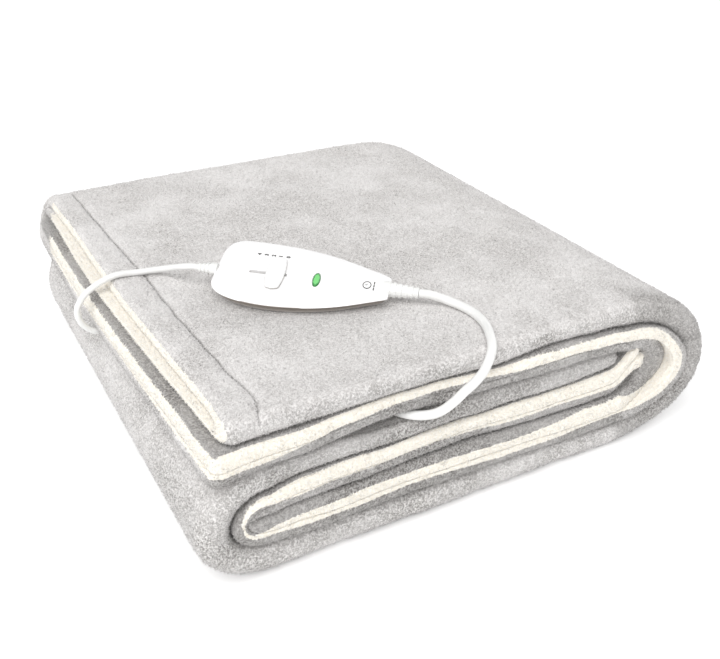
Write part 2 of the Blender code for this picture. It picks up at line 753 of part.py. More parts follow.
def make_cords(lead_place, mains_place, plug_end, material):
    lead_out = lead_place.to_3x3() @ Vector((1.0, 0.0, 0.0))
    mains_out = mains_place.to_3x3() @ Vector((1.0, 0.0, 0.0))
    lead_start = lead_place.translation + lead_out * (LEAD_RELIEF.length + GAP)
    mains_start = mains_place.translation + mains_out * (MAINS_RELIEF.length + GAP)
    make_tube("lead_cord", lead_points(lead_start, lead_out), LEAD_DIAMETER, material)
    make_tube("mains_cord", mains_points(mains_start, mains_out), MAINS_DIAMETER, material)
    make_coil(material)
    make_tube("mains_tail", tail_points(plug_end), MAINS_DIAMETER, material)


def main():
    clear_scene()
    plush = make_material("plush_grey", GREY, 0.95)
    white = make_material("control_white", WHITE, 0.22)
    cord_white = make_material("cord_white", CORD_WHITE, 0.40)
    green = make_material("lamp_green", GREEN, 0.15)
    metal = make_material("pin_metal", BRASS, 0.25, 1.0)

    make_blanket(plush)

    frame = control_frame()
    upper = make_upper_shell(frame, white)
    lower = make_lower_shell(frame, white)
    make_knob(white)
    make_lamp(green)

    lead_place, mains_place = control_ends(frame)
    for name, relief, place in (("relief_lead", LEAD_RELIEF, lead_place),
                                ("relief_mains", MAINS_RELIEF, mains_place)):
        cut_socket("cutter_" + name, relief, place, (upper, lower))
        make_relief(name, relief, place, cord_white, SOCKET)

    plug_end = make_plug(cord_white, metal)
    make_cords(lead_place, mains_place, plug_end, cord_white)

    centring = Matrix.Translation(-blanket_middle())
    bpy.context.view_layer.update()
    for item in bpy.data.objects:
        item.matrix_world = centring @ item.matrix_world


main()
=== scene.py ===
"""Looks of the electric heated blanket: plush cloth, hand control, lead, mains cord and plug.

Lengths are metres. Places are written in the fold's own coordinates, as in the part's source:
origin at the foot of the top layer's near-left corner, X along the front, Y to the back, Z up.
"""
from collections import namedtuple
from math import cos, pi, radians, sin, tan

import bmesh
import bpy
import numpy as np
from mathutils import Matrix, Vector, noise


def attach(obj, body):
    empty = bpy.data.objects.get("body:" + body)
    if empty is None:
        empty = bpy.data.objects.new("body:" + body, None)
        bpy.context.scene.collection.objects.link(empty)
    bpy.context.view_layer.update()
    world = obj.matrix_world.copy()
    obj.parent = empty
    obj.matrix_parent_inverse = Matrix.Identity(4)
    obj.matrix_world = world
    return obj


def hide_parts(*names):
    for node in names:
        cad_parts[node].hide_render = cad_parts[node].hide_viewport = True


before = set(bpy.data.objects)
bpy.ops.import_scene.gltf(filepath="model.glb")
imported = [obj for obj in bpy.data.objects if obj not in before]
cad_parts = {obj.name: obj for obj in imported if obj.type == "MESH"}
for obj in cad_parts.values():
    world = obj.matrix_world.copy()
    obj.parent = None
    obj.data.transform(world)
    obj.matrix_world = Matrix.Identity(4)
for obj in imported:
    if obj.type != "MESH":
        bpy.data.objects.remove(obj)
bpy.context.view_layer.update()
MIDDLE = Vector((0.2076, 0.2229, 0.0))     # the blanket's middle, in fold coordinates


def blend(a, b, t):
    return a + (b - a) * t


def clamp(t):
    return min(max(t, 0.0), 1.0)


def ease(t):
    t = clamp(t)
    return t * t * (3 - 2 * t)


def fade(value, start, run):
    """1 up to the start, then gently down to 0 over the run."""
    return 1 - ease((value - start) / run)


def read_table(rows, x):
    """Straight-line reading of rows (x, value, ...) at x."""
    if x <= rows[0][0]:
        return rows[0][1:]
    for a, b in zip(rows, rows[1:]):
        if x <= b[0]:
            t = (x - a[0]) / (b[0] - a[0])
            return tuple(blend(p, q, t) for p, q in zip(a[1:], b[1:]))
    return rows[-1][1:]


def add_object(name, data):
    item = bpy.data.objects.new(name, data)
    bpy.context.scene.collection.objects.link(item)
    return item


def to_mesh(bm, name):
    mesh = bpy.data.meshes.new(name)
    bm.to_mesh(mesh)
    bm.free()
    return mesh


# ---- camera: a pinhole fitted to the photograph's edges
LENS = 48.56
CAMERA_PLACE = Vector((-0.18692, -0.47045, 0.49528))
CAMERA_TURN, CAMERA_DIP, CAMERA_ROLL = -0.53726, 0.51794, 0.02302


def make_camera():
    data = bpy.data.cameras.new("camera")
    data.sensor_fit = "HORIZONTAL"
    data.sensor_width = 36.0
    data.lens = LENS
    data.clip_start = 0.01
    data.clip_end = 50.0
    item = add_object("camera", data)
    item.matrix_world = (Matrix.Translation(CAMERA_PLACE - MIDDLE)
                         @ Matrix.Rotation(CAMERA_TURN, 4, "Z")
                         @ Matrix.Rotation(pi / 2 - CAMERA_DIP, 4, "X")
                         @ Matrix.Rotation(CAMERA_ROLL, 4, "Z"))
    bpy.context.scene.camera = item


# ---- materials
class Nodes:
    """A short way to write a material's nodes."""

    def __init__(self, name):
        self.material = bpy.data.materials.new(name)
        self.material.use_nodes = True
        self.tree = self.material.node_tree
        self.shader = self.tree.nodes["Principled BSDF"]

    def add(self, kind, **settings):
        node = self.tree.nodes.new(kind)
        for key, value in settings.items():
            setattr(node, key, value)
        return node

    def link(self, source, target):
        self.tree.links.new(source, target)

    def feed(self, socket, value):
        if isinstance(value, bpy.types.NodeSocket):
            self.link(value, socket)
        else:
            socket.default_value = value

    def set(self, **values):
        for key, value in values.items():
            self.shader.inputs[key.replace("_", " ")].default_value = value

    def drive(self, socket, source):
        self.link(source, self.shader.inputs[socket])

    def noise(self, scale, detail=2.0, rough=0.5, stretch=None):
        texture = self.add("ShaderNodeTexNoise")
        texture.inputs["Scale"].default_value = scale
        texture.inputs["Detail"].default_value = detail
        texture.inputs["Roughness"].default_value = rough
        place = self.add("ShaderNodeTexCoord").outputs["Object"]
        if stretch:
            mapping = self.add("ShaderNodeMapping")
            mapping.inputs["Scale"].default_value = stretch
            self.link(place, mapping.inputs["Vector"])
            place = mapping.outputs["Vector"]
        self.link(place, texture.inputs["Vector"])
        return texture.outputs["Fac"]

    def math(self, operation, a, b):
        node = self.add("ShaderNodeMath", operation=operation)
        self.feed(node.inputs[0], a)
        self.feed(node.inputs[1], b)
        return node.outputs[0]

    def remap(self, value, from_low, from_high, to_low, to_high, smooth=False):
        node = self.add("ShaderNodeMapRange")
        if smooth:
            node.interpolation_type = "SMOOTHSTEP"
        self.link(value, node.inputs["Value"])
        for key, number in (("From Min", from_low), ("From Max", from_high),
                            ("To Min", to_low), ("To Max", to_high)):
            node.inputs[key].default_value = number
        return node.outputs["Result"]

    def mix(self, factor, a, b, mode="MIX"):
        node = self.add("ShaderNodeMix", data_type="RGBA", blend_type=mode)
        self.feed(node.inputs[0], factor)
        for socket, value in ((node.inputs[6], a), (node.inputs[7], b)):
            self.feed(socket, value if isinstance(value, bpy.types.NodeSocket) else (*value, 1.0))
        return node.outputs[2]

    def attribute(self, name):
        return self.add("ShaderNodeAttribute", attribute_name=name).outputs["Fac"]

    def bump(self, height, strength, distance, under=None):
        node = self.add("ShaderNodeBump")
        node.inputs["Strength"].default_value = strength
        node.inputs["Distance"].default_value = distance
        self.link(height, node.inputs["Height"])
        if under:
            self.link(under, node.inputs["Normal"])
        return node.outputs["Normal"]


# The plush: grey tufts and the lighter patches they form, the gaps between them on level cloth and
# on upright or shaded cloth (darker there as painted shade), the painted shade of a deep crease,
# and the cream pile's gaps and tufts.
GREY_TUFT, GREY_LIGHT = (0.80, 0.780, 0.768), (0.87, 0.851, 0.842)
GREY_GAPS, GREY_SHADED_GAPS = (0.50, 0.480, 0.466), (0.12, 0.112, 0.100)
PAINTED_CREASE_SHADE = (0.16, 0.15, 0.135)
CREAM_GAPS, CREAM_TUFT = (0.90, 0.845, 0.745), (1.0, 0.985, 0.95)
GRAIN_SCALE, TUFT_SCALE, CLUMP_SCALE, PATCH_SCALE, WIDE_SCALE = 1150.0, 560.0, 150.0, 26.0, 9.0


def plush_material():
    """Grey plush, cream on the other face; the 'cream' attribute is 0.5 where they meet, and
    'shade' says how deep in a crease a place lies, where the pile is painted darker and coarser as
    shade. 'tone' sets each tuft apart from its neighbours; the cloth itself has none, so between
    the tufts it is painted darker as shade."""
    n = Nodes("plush")
    grain = n.noise(GRAIN_SCALE, 2.0, 0.6)
    tuft = n.noise(TUFT_SCALE, 2.0, 0.60)
    clump = n.noise(CLUMP_SCALE, 2.0, 0.5)
    patch = n.noise(PATCH_SCALE, 2.0, 0.55)
    wide = n.noise(WIDE_SCALE, 2.0, 0.5)
    shade = n.attribute("shade")
    fray = n.math("ADD", n.remap(tuft, 0.3, 0.7, -0.06, 0.06),
                  n.remap(clump, 0.3, 0.7, -0.03, 0.03))
    side = n.math("ADD", n.attribute("cream"), fray)
    side = n.remap(side, 0.45, 0.55, 0.0, 1.0, smooth=True)

    # Painted shade: the gaps between the tufts darken on upright faces and where 'shade' is high.
    up = n.add("ShaderNodeSeparateXYZ")
    n.link(n.add("ShaderNodeNewGeometry").outputs["Normal"], up.inputs["Vector"])
    upright = n.remap(up.outputs["Z"], 0.35, 0.90, 0.65, 0.0, smooth=True)
    gap_shade = n.math("MAXIMUM", upright, shade)
    pile = n.math("ADD", n.math("MULTIPLY", grain, 0.45), n.math("MULTIPLY", tuft, 0.55))
    pile = n.math("ADD", pile, n.remap(n.attribute("tone"), 0.0, 1.0, -0.08, 0.13))
    gaps = n.mix(gap_shade, GREY_GAPS, GREY_SHADED_GAPS)
    grey = n.mix(n.remap(pile, 0.37, 0.50, 0.0, 1.0), gaps, GREY_TUFT)
    light = n.math("ADD", n.remap(patch, 0.30, 0.70, 0.0, 0.5),
                   n.remap(wide, 0.30, 0.70, 0.0, 0.5))
    grey = n.mix(n.remap(light, 0.28, 0.72, 0.0, 0.50), grey, GREY_LIGHT)
    # Painted crease shade: the grey is multiplied down towards a brown-grey where 'shade' is high.
    dark = n.mix(n.math("MULTIPLY", shade, 0.75), (1.0, 1.0, 1.0), PAINTED_CREASE_SHADE)
    grey = n.mix(1.0, grey, dark, "MULTIPLY")
    cream = n.mix(n.remap(pile, 0.36, 0.62, 0.0, 1.0), CREAM_GAPS, CREAM_TUFT)
    n.drive("Base Color", n.mix(side, grey, cream))

    height = n.math("ADD", n.math("MULTIPLY", tuft, 1.0), n.math("MULTIPLY", grain, 0.6))
    fine = n.bump(height, 0.75, 0.0010)
    n.drive("Normal", n.bump(clump, 0.45, 0.0020, fine))
    n.drive("Roughness", n.remap(grain, 0.3, 0.7, 0.88, 1.0))
    n.set(Sheen_Weight=0.25, Sheen_Roughness=0.5, Specular_IOR_Level=0.1)
    return n.material


# The brown of the painted shade in the plastic's gaps.
PAINTED_SHADE_BROWN = (0.20, 0.165, 0.135)


def plastic_material(name, colour, low, high, bump=0.04, coat=0.0, painted_glow=0.0):
    """Plastic of a roughness from low to high; the 'deep' attribute paints shade in its gaps, as a
    dark brown.
    """
    n = Nodes(name)
    haze = n.noise(60.0, 3.0)
    grain = n.noise(900.0, 2.0)
    deep = n.attribute("deep")
    tint = n.mix(n.remap(haze, 0.35, 0.65, 0.0, 1.0), tuple(0.97 * c for c in colour), colour)
    n.drive("Base Color", n.mix(deep, tint, PAINTED_SHADE_BROWN))
    n.drive("Roughness", n.remap(haze, 0.3, 0.7, low, high))
    n.drive("Normal", n.bump(grain, bump, 0.0002))
    if coat:
        n.set(Coat_Weight=coat, Coat_Roughness=0.08)
    # Painted light: a faint white glow, which 'deep' turns off where it paints shade.
    if painted_glow:
        n.drive("Emission Color", n.mix(deep, (1.0, 1.0, 1.0), (0.0, 0.0, 0.0)))
        n.set(Emission_Strength=painted_glow)
    return n.material


def lamp_material():
    """Light green in the middle, darker at the rim ('rim' runs from 0 in the middle to 1)."""
    n = Nodes("lamp_window")
    rim = n.math("ADD", n.attribute("rim"), n.remap(n.noise(700.0, 2.0), 0.3, 0.7, -0.10, 0.10))
    n.drive("Base Color", n.mix(n.remap(rim, 0.62, 0.88, 0.0, 1.0, smooth=True),
                                (0.20, 0.60, 0.21), (0.05, 0.24, 0.07)))
    n.drive("Emission Color", n.mix(n.remap(rim, 0.6, 0.9, 0.0, 1.0),
                                    (0.08, 0.30, 0.08), (0.0, 0.01, 0.0)))
    n.drive("Roughness", n.remap(n.noise(60.0), 0.3, 0.7, 0.10, 0.20))
    n.set(Emission_Strength=0.35)
    return n.material


def metal_material():
    n = Nodes("pin_metal")
    brushed = n.noise(300.0, 3.0, 0.6, (0.15, 1.0, 1.0))
    n.drive("Base Color", n.mix(brushed, (0.66, 0.65, 0.62), (0.86, 0.85, 0.82)))
    n.drive("Roughness", n.remap(brushed, 0.3, 0.7, 0.18, 0.34))
    n.set(Metallic=1.0)
    return n.material


# ---- blanket: fold table
DEPTH = 0.450
TOP = 0.1380
# Each run of the roll, read along x: the height of its fold line and of its innermost face, the y
# of its front hems, and the heights where the cream they show ends and, if that isn't the fold
# line, where it begins.
Layer = namedtuple("Layer", "x fold inmost hem cream_to cream_from")
Run = namedtuple("Run", "name x_from x_to steps layers")


def layers(*rows):
    return tuple(Layer(*row[:5], row[5] if len(row) > 5 else row[1]) for row in rows)


RUNS = (
    Run("top", 0.000, 0.345, 72, layers(
        (0.000, 0.1183, 0.0925, -0.0040, 0.1010), (0.018, 0.1190, 0.0968, -0.0040, 0.1036),
        (0.033, 0.1188, 0.0990, -0.0040, 0.1049), (0.048, 0.1189, 0.0988, -0.0040, 0.1078),
        (0.063, 0.1194, 0.0993, -0.0035, 0.1094), (0.078, 0.1203, 0.1015, -0.0025, 0.1126),
        (0.094, 0.1214, 0.1034, -0.0015, 0.1134), (0.110, 0.1221, 0.1043, -0.0005, 0.1149),
        (0.128, 0.1221, 0.1043, 0.0000, 0.1158), (0.145, 0.1210, 0.1030, 0.0000, 0.1155),
        (0.162, 0.1207, 0.1025, -0.0002, 0.1155), (0.180, 0.1198, 0.1013, -0.0005, 0.1152),
        (0.197, 0.1186, 0.1012, -0.0010, 0.1144), (0.214, 0.1178, 0.1020, -0.0020, 0.1130),
        (0.232, 0.1186, 0.1013, -0.0030, 0.1119), (0.251, 0.1211, 0.1008, -0.0040, 0.1118, 0.1202),
        (0.271, 0.1217, 0.1003, -0.0040, 0.1116, 0.1194),
        (0.291, 0.1209, 0.1012, -0.0040, 0.1118, 0.1194), (0.312, 0.1182, 0.1002, -0.0040, 0.1109),
        (0.330, 0.1176, 0.0996, -0.0040, 0.1098), (0.345, 0.1150, 0.0965, -0.0040, 0.1070))),
    Run("bottom", 0.345, 0.026, 34, layers(
        (0.026, 0.0302, 0.0575, -0.0040, 0.0480, 0.0406),
        (0.047, 0.0303, 0.0594, -0.0040, 0.0507, 0.0403),
        (0.070, 0.0294, 0.0586, -0.0040, 0.0517, 0.0406),
        (0.096, 0.0306, 0.0580, -0.0040, 0.0534, 0.0392),
        (0.130, 0.0299, 0.0584, -0.0040, 0.0519, 0.0408),
        (0.165, 0.0300, 0.0582, -0.0040, 0.0530, 0.0410),
        (0.200, 0.0301, 0.0588, -0.0040, 0.0521, 0.0395),
        (0.222, 0.0296, 0.0566, -0.0040, 0.0506, 0.0370),
        (0.242, 0.0288, 0.0562, -0.0040, 0.0499, 0.0365),
        (0.263, 0.0286, 0.0548, -0.0040, 0.0507, 0.0365),
        (0.284, 0.0278, 0.0541, -0.0040, 0.0520, 0.0366),
        (0.305, 0.0262, 0.0536, -0.0040, 0.0528, 0.0376),
        (0.327, 0.0253, 0.0535, -0.0040, 0.0520, 0.0372),
        (0.345, 0.0262, 0.0535, -0.0040, 0.0530, 0.0385))),
    Run("middle", 0.026, 0.338, 34, layers(
        (0.018, 0.0690, 0.0570, -0.0040, 0.0663), (0.026, 0.0738, 0.0586, -0.0040, 0.0676),
        (0.033, 0.0762, 0.0595, -0.0040, 0.0681), (0.048, 0.0798, 0.0607, -0.0040, 0.0682),
        (0.063, 0.0804, 0.0603, -0.0040, 0.0694, 0.0798),
        (0.094, 0.0810, 0.0594, -0.0030, 0.0695, 0.0805), (0.111, 0.0792, 0.0597, -0.0020, 0.0688),
        (0.128, 0.0792, 0.0597, -0.0010, 0.0702), (0.146, 0.0795, 0.0592, 0.0000, 0.0690),
        (0.163, 0.0800, 0.0598, 0.0000, 0.0696), (0.181, 0.0797, 0.0598, 0.0000, 0.0683),
        (0.199, 0.0788, 0.0602, 0.0000, 0.0676), (0.218, 0.0788, 0.0580, 0.0000, 0.0651),
        (0.237, 0.0792, 0.0576, 0.0000, 0.0645), (0.257, 0.0778, 0.0562, 0.0000, 0.0648),
        (0.277, 0.0779, 0.0556, 0.0000, 0.0648), (0.298, 0.0774, 0.0550, 0.0000, 0.0640),
        (0.318, 0.0794, 0.0552, 0.0000, 0.0630), (0.338, 0.0830, 0.0554, 0.0000, 0.0554))),
)
# The top of the middle run's upper pair: it sinks under the mains lead.
MIDDLE_TOP = ((0.020, 0.0950), (0.050, 0.0966), (0.085, 0.0972), (0.106, 0.0940), (0.142, 0.0940),
              (0.165, 0.0985), (0.215, 0.0990), (0.300, 0.0985), (0.338, 0.0970))
# The half turns: how far the fold line and the innermost face reach and how far each sags.
# Along a turn (t, cream_from, cream_to, split, recess): the shares of the thickness between the
# two where the front shows cream, the share where the two plies meet, and how far the inner
# ply's hem lies back.
Turn = namedtuple("Turn", "name side reach inner_reach sag inner_sag steps front")
TURNS = (
    Turn("right", 1, 0.0745, 0.0300, 0.0080, 0.0060, 38,
         ((0.00, 0.00, 0.45, 0.50, 0.0), (0.12, 0.03, 0.46, 0.48, 0.001),
          (0.25, 0.16, 0.46, 0.46, 0.005), (0.50, 0.22, 0.44, 0.44, 0.012),
          (0.75, 0.32, 0.60, 0.56, 0.010), (0.88, 0.40, 0.80, 0.54, 0.005),
          (1.00, 0.45, 0.98, 0.50, 0.0))),
    Turn("left", -1, 0.0275, 0.0080, 0.0024, 0.0000, 24,
         ((0.00, 0.38, 0.65, 0.50, 0.0), (0.25, 0.28, 0.42, 0.50, 0.0),
          (0.50, 0.29, 0.38, 0.45, 0.002), (0.75, 0.04, 0.26, 0.50, 0.0),
          (1.00, 0.00, 0.41, 0.50, 0.0))),
)
# How far the left side is drawn in at the back, and how far along a run that fades.
LEFT_DRAW, LEFT_DRAW_RUN = 0.015, 0.150
TURN_NUDGE = 0.01         # the share of a turn over which its heading is taken
CREAM_GAP = 0.0003        # between the cream faces of a pair
GREY_GAP = 0.0004         # between the grey faces at the fold line

# The cloth's ends, for each ply from the outside of the roll inwards: its tip along x at some
# distances from the front, how long its rounded nose is, where its tip lies between its grey
# face (0) and its cream face (1), how square the nose is, and how far the tip is raised.
EndPly = namedtuple("EndPly", "tips nose toward square lift")
LEFT_END = (
    EndPly(((0.000, -0.0040), (0.035, -0.0015), (0.100, -0.0030), (0.200, -0.0050),
            (0.280, -0.0030), (0.350, -0.0010), (0.430, -0.0010)), 0.0075, 0.90, 1.8, 0.0),
    EndPly(((0.000, -0.0065), (0.020, -0.0075), (0.060, -0.0085), (0.100, -0.0105),
            (0.180, -0.0125), (0.240, -0.0135), (0.300, -0.0120), (0.370, -0.0085),
            (0.430, -0.0040)), 0.0110, 0.95, 1.9, 0.0),
    EndPly(((0.000, -0.0155), (0.030, -0.0170), (0.070, -0.0172), (0.110, -0.0185),
            (0.200, -0.0200), (0.250, -0.0198), (0.300, -0.0188), (0.360, -0.0170),
            (0.430, -0.0120)), 0.0050, 0.80, 2.4, 0.0),
    EndPly(((0.000, -0.0175), (0.050, -0.0185), (0.200, -0.0195), (0.300, -0.0195),
            (0.360, -0.0180), (0.430, -0.0140)), 0.0065, 0.50, 2.4, 0.0),
)
RIGHT_END = (
    EndPly(((0.000, 0.3400), (0.430, 0.3390)), 0.0060, 0.50, 2.6, 0.0000),
    EndPly(((0.000, 0.3400), (0.430, 0.3390)), 0.0060, 0.50, 2.6, 0.0000),
    EndPly(((0.000, 0.3640), (0.430, 0.3620)), 0.0060, 0.40, 3.0, 0.0180),
    EndPly(((0.000, 0.3710), (0.430, 0.3680)), 0.0070, 0.60, 3.0, 0.0160),
)
RIGHT_LIFT_FROM, RIGHT_LIFT_RUN = 0.334, 0.028
END_CORNER = 0.008        # the radius of a hem's corner at the cloth's ends
END_EDGE = 1.25           # noses from the tip within which an end has its own cream and pile
RIGHT_PILE, RIGHT_PILE_RUN = 0.6, 0.05    # how thick that pile is at the right, and how far back
# Where the plies' ends begin, and the shares of the way from there at which a section stands.
LEFT_END_FROM, RIGHT_END_FROM = 0.040, 0.300
END_STEPS = (0.0, 0.09, 0.18, 0.25, 0.28, 0.305, 0.33, 0.35, 0.37, 0.39, 0.41, 0.43, 0.45, 0.475,
             0.51, 0.56, 0.62, 0.68, 0.735, 0.78, 0.82, 0.855, 0.885, 0.91, 0.932, 0.951, 0.967,
             0.980, 0.990, 0.997)

# The stitched seam near the left end, as (y, x), with its groove and the wider trough round it.
SEAM_LINE = ((0.000, 0.0210), (0.008, 0.0230), (0.020, 0.0268), (0.032, 0.0280), (0.051, 0.0255),
             (0.083, 0.0243), (0.147, 0.0231), (0.184, 0.0231), (0.229, 0.0242), (0.344, 0.0223))
SEAM_HALF, SEAM_DEEP = 0.0012, 0.0018
TROUGH_HALF, TROUGH_DEEP = 0.0070, 0.0014
SEAM_TO = 0.03            # how far in from the left the top is pressed in by its seam
SEAM_FADE = (0.15, 0.5)   # the shares of the front fold at and over which the groove ends

# A section's station: the point on the fold line, the way outwards and inwards from it, and the
# thicknesses of the outer and the inner pair.
Station = namedtuple("Station", "run x z outwards inwards outer inner hem cream split recess "
                                "draw along end")


def read_layer(run, x):
    return Layer(x, *read_table(run.layers, x))


def outer_thickness(run, layer):
    if run.name == "top":
        return TOP - layer.fold
    if run.name == "middle":
        return read_table(MIDDLE_TOP, layer.x)[0] - layer.fold
    return layer.fold


def run_station(run, x, along, end=None):
    layer, up = read_layer(run, x), 1 if run.x_to > run.x_from else -1
    inner = abs(layer.fold - layer.inmost)
    shares = sorted(abs(layer.fold - z) / inner for z in (layer.cream_from, layer.cream_to))
    draw = 0.0 if run.name == "top" else ease(1 - (x - RUNS[1].x_to) / LEFT_DRAW_RUN)
    return Station(run.name, x, layer.fold, Vector((0, up)), Vector((0, -up)),
                   outer_thickness(run, layer), inner, layer.hem, shares, 0.5, 0.0, draw,
                   along, end)


def turn_place(centre_x, z_before, z_after, reach, sag, t):
    s, c = sin(pi * t), cos(pi * t)
    return Vector((centre_x + reach * s,
                   (z_before + z_after) / 2 + (z_before - z_after) / 2 * c - sag * s * s))


def turn_station(turn, before, after, t, along):
    start, end = read_layer(before, before.x_to), read_layer(after, after.x_from)
    line = (before.x_to, start.fold, end.fold, turn.side * turn.reach, turn.sag)
    place = turn_place(*line, t)
    inmost = turn_place(before.x_to, start.inmost, end.inmost, turn.side * turn.inner_reach,
                        turn.inner_sag, t)
    heading = turn_place(*line, t + TURN_NUDGE) - turn_place(*line, t - TURN_NUDGE)
    outwards = Vector((heading.y, -heading.x)).normalized()
    if outwards.x * turn.side < 0:
        outwards = -outwards
    outer = blend(outer_thickness(before, start), outer_thickness(after, end), t)
    front = read_table(turn.front, t)
    return Station(turn.name, *place, outwards, (inmost - place).normalized(), outer,
                   (inmost - place).length, blend(start.hem, end.hem, t), front[:2], front[2],
                   front[3], 1.0 if turn.side < 0 else 0.0, along, None)


def strip_stations():
    """Sections of the rolled strip, from the top left hems to the inner right ones."""
    top, bottom, middle = RUNS
    stations = [run_station(top, LEFT_END_FROM * (1 - e), LEFT_END_FROM * (1 - e), ("left", e))
                for e in reversed(END_STEPS)]
    for i in range(1, top.steps + 1):
        x = blend(LEFT_END_FROM, top.x_to, i / top.steps)
        stations.append(run_station(top, x, x))
    along = top.x_to
    for turn, before, after in ((TURNS[0], top, bottom), (TURNS[1], bottom, middle)):
        height = before.layers[-1 if turn.side > 0 else 0].fold - after.layers[0].fold
        mean = (turn.reach + abs(height) / 2) / 2
        for i in range(1, turn.steps):
            along += pi * mean / turn.steps
            stations.append(turn_station(turn, before, after, i / turn.steps, along))
        along += pi * mean / turn.steps
        last = after.x_to if after is bottom else RIGHT_END_FROM
        for i in range(after.steps + 1):
            x = blend(after.x_from, last, i / after.steps)
            end = ("right", 0.0) if after is middle and i == after.steps else None
            stations.append(run_station(after, x, along + abs(x - after.x_from), end))
        along += abs(last - after.x_from)
    for e in END_STEPS[1:]:
        x = RIGHT_END_FROM + (middle.x_to - RIGHT_END_FROM) * e
        stations.append(run_station(middle, x, along + x - RIGHT_END_FROM, ("right", e)))
    return stations


# ---- blanket: section of the strip
# A point of the section: its y and its level n, the plies that a fold joins there (or the one
# it is on, twice) and how far round it is, and its face: grey, cream or the hem's nose.
Point = namedtuple("Point", "y n ply_a ply_b t face")
OUTER_STEPS = 84
MID_STEPS = 20
NOSE_STEPS = 10
FOLD_STEPS = 18           # of the round outer folds
INNER_STEPS = 9           # of the folds whose inside is closed
BACK_STEPS = 7            # of the cream's folds at the back
NOSE_LONG = 0.0055
NOSE_ROUND, NOSE_SQUARE = 2.1, 20.0       # a hem's edge on its grey side and on its cream side
BACK_SQUARE, FRONT_SQUARE = 2.1, 2.15     # how square the round outer folds are
CROWDING = 2.2            # how closely a face's points crowd at its front


def ply_faces(station):
    """Levels of the cloth's faces, from the outermost: grey, cream, cream, grey, twice."""
    inner = station.inner
    mid_out, mid_in = station.outer / 2, -inner * station.split
    return (station.outer, mid_out + CREAM_GAP / 2, mid_out - CREAM_GAP / 2, GREY_GAP / 2,
            -GREY_GAP / 2, mid_in + CREAM_GAP / 2, mid_in - CREAM_GAP / 2, -inner)


def arc(centre_y, n_from, n_to, side, steps, power=2.0):
    """A fold's points as (y, n, t), without its ends; power above 2 makes it squarer."""
    radius, middle = abs(n_to - n_from) / 2, (n_from + n_to) / 2
    points = []
    for i in range(1, steps):
        c, s = cos(pi * i / steps), sin(pi * i / steps)
        c = (1 if c >= 0 else -1) * abs(c) ** (2 / power)
        points.append((centre_y + side * radius * s ** (2 / power),
                       middle + (n_from - middle) * c, i / steps))
    return points


def hem_nose(y_tip, n_from, n_to, from_grey):
    """A hem's rounded edge from one face to the other: rounder on the grey side."""
    points = []
    for i in range(1, NOSE_STEPS):
        u = -cos(pi * i / NOSE_STEPS)
        power = NOSE_ROUND if (u < 0) == from_grey else NOSE_SQUARE
        back = NOSE_LONG * (1 - (1 - abs(u) ** power) ** (1 / power))
        points.append((y_tip + back, blend(n_from, n_to, (u + 1) / 2)))
    return points


def section(station, fold_y, hem3, hem4):
    """Points round the whole cloth at one station, from the lowest hem; fold_y, hem3 and hem4
    are the front edges of the closed fold and of the two hems."""
    a1, a2, a3, a4, a5, a6, a7, a8 = ply_faces(station)
    back_y = DEPTH - (a1 - a8) / 2
    fold_y = fold_y + (a1 - a4) / 2
    fine = [(i / MID_STEPS) ** CROWDING for i in range(MID_STEPS + 1)]
    even = [i / OUTER_STEPS for i in range(OUTER_STEPS + 1)]
    points = []

    def face(y_front, n, ply, name, shares, to_front=False):
        for s in reversed(shares) if to_front else shares:
            points.append(Point(blend(y_front, back_y, s), n, ply, ply, 0.0, name))

    def fold(rows, ply_a, ply_b, name):
        points.extend(Point(y, n, ply_a, ply_b, t, name) for y, n, t in rows)

    def hem(rows, ply):
        points.extend(Point(y, n, ply, ply, 0.0, "nose") for y, n in rows)

    face(hem4 + NOSE_LONG, a8, 3, "grey", fine)
    fold(arc(back_y, a8, a1, 1, FOLD_STEPS, BACK_SQUARE), 3, 0, "grey")
    face(fold_y, a1, 0, "grey", even, to_front=True)
    fold(arc(fold_y, a1, a4, -1, FOLD_STEPS, FRONT_SQUARE), 0, 1, "grey")
    face(fold_y, a4, 1, "grey", fine)
    fold(arc(back_y, a4, a5, 1, INNER_STEPS), 1, 2, "grey")
    face(hem3 + NOSE_LONG, a5, 2, "grey", fine, to_front=True)
    hem(hem_nose(hem3, a5, a6, True), 2)
    face(hem3 + NOSE_LONG, a6, 2, "cream", fine)
    fold(arc(back_y, a6, a3, 1, BACK_STEPS), 2, 1, "cream")
    face(fold_y, a3, 1, "cream", fine, to_front=True)
    fold(arc(fold_y, a3, a2, -1, INNER_STEPS), 1, 0, "cream")
    face(fold_y, a2, 0, "cream", fine)
    fold(arc(back_y, a2, a7, 1, BACK_STEPS), 0, 3, "cream")
    face(hem4 + NOSE_LONG, a7, 3, "cream", fine, to_front=True)
    hem(hem_nose(hem4, a7, a8, False), 3)
    return points


# How many of a section's points are grey: three faces, the top one, and three folds.
GREY_POINTS = 3 * (MID_STEPS + 1) + OUTER_STEPS + 1 + 2 * (FOLD_STEPS - 1) + INNER_STEPS - 1


# Unevenness, as rows of (seed, length of a wave, height): of the front edges of the closed fold and
# of the two hems, and of the seam's line.
FOLD_WAVES = ((1, 0.060, 0.0022), (2, 0.019, 0.0010))
HEM3_WAVES = ((3, 0.070, 0.0024), (4, 0.021, 0.0010))
HEM4_WAVES = ((3, 0.070, 0.0024), (6, 0.030, 0.0008))
SEAM_WAVES = ((10, 0.018, 0.0010),)
SEED_STRIDE = (7.31, 1.7)     # how far apart in the noise two seeds read


def waves(rows, along, start=0.0):
    """A smooth unevenness along the cloth."""
    for seed, long, size in rows:
        place = Vector((along / long, seed * SEED_STRIDE[0], seed * SEED_STRIDE[1]))
        start += size * noise.noise(place)
    return start


def front_edges(station):
    """The y of the front edges of the closed fold and of the two hems."""
    return (waves(FOLD_WAVES, station.along),
            waves(HEM3_WAVES, station.along, station.hem),
            waves(HEM4_WAVES, station.along, station.hem + station.recess))


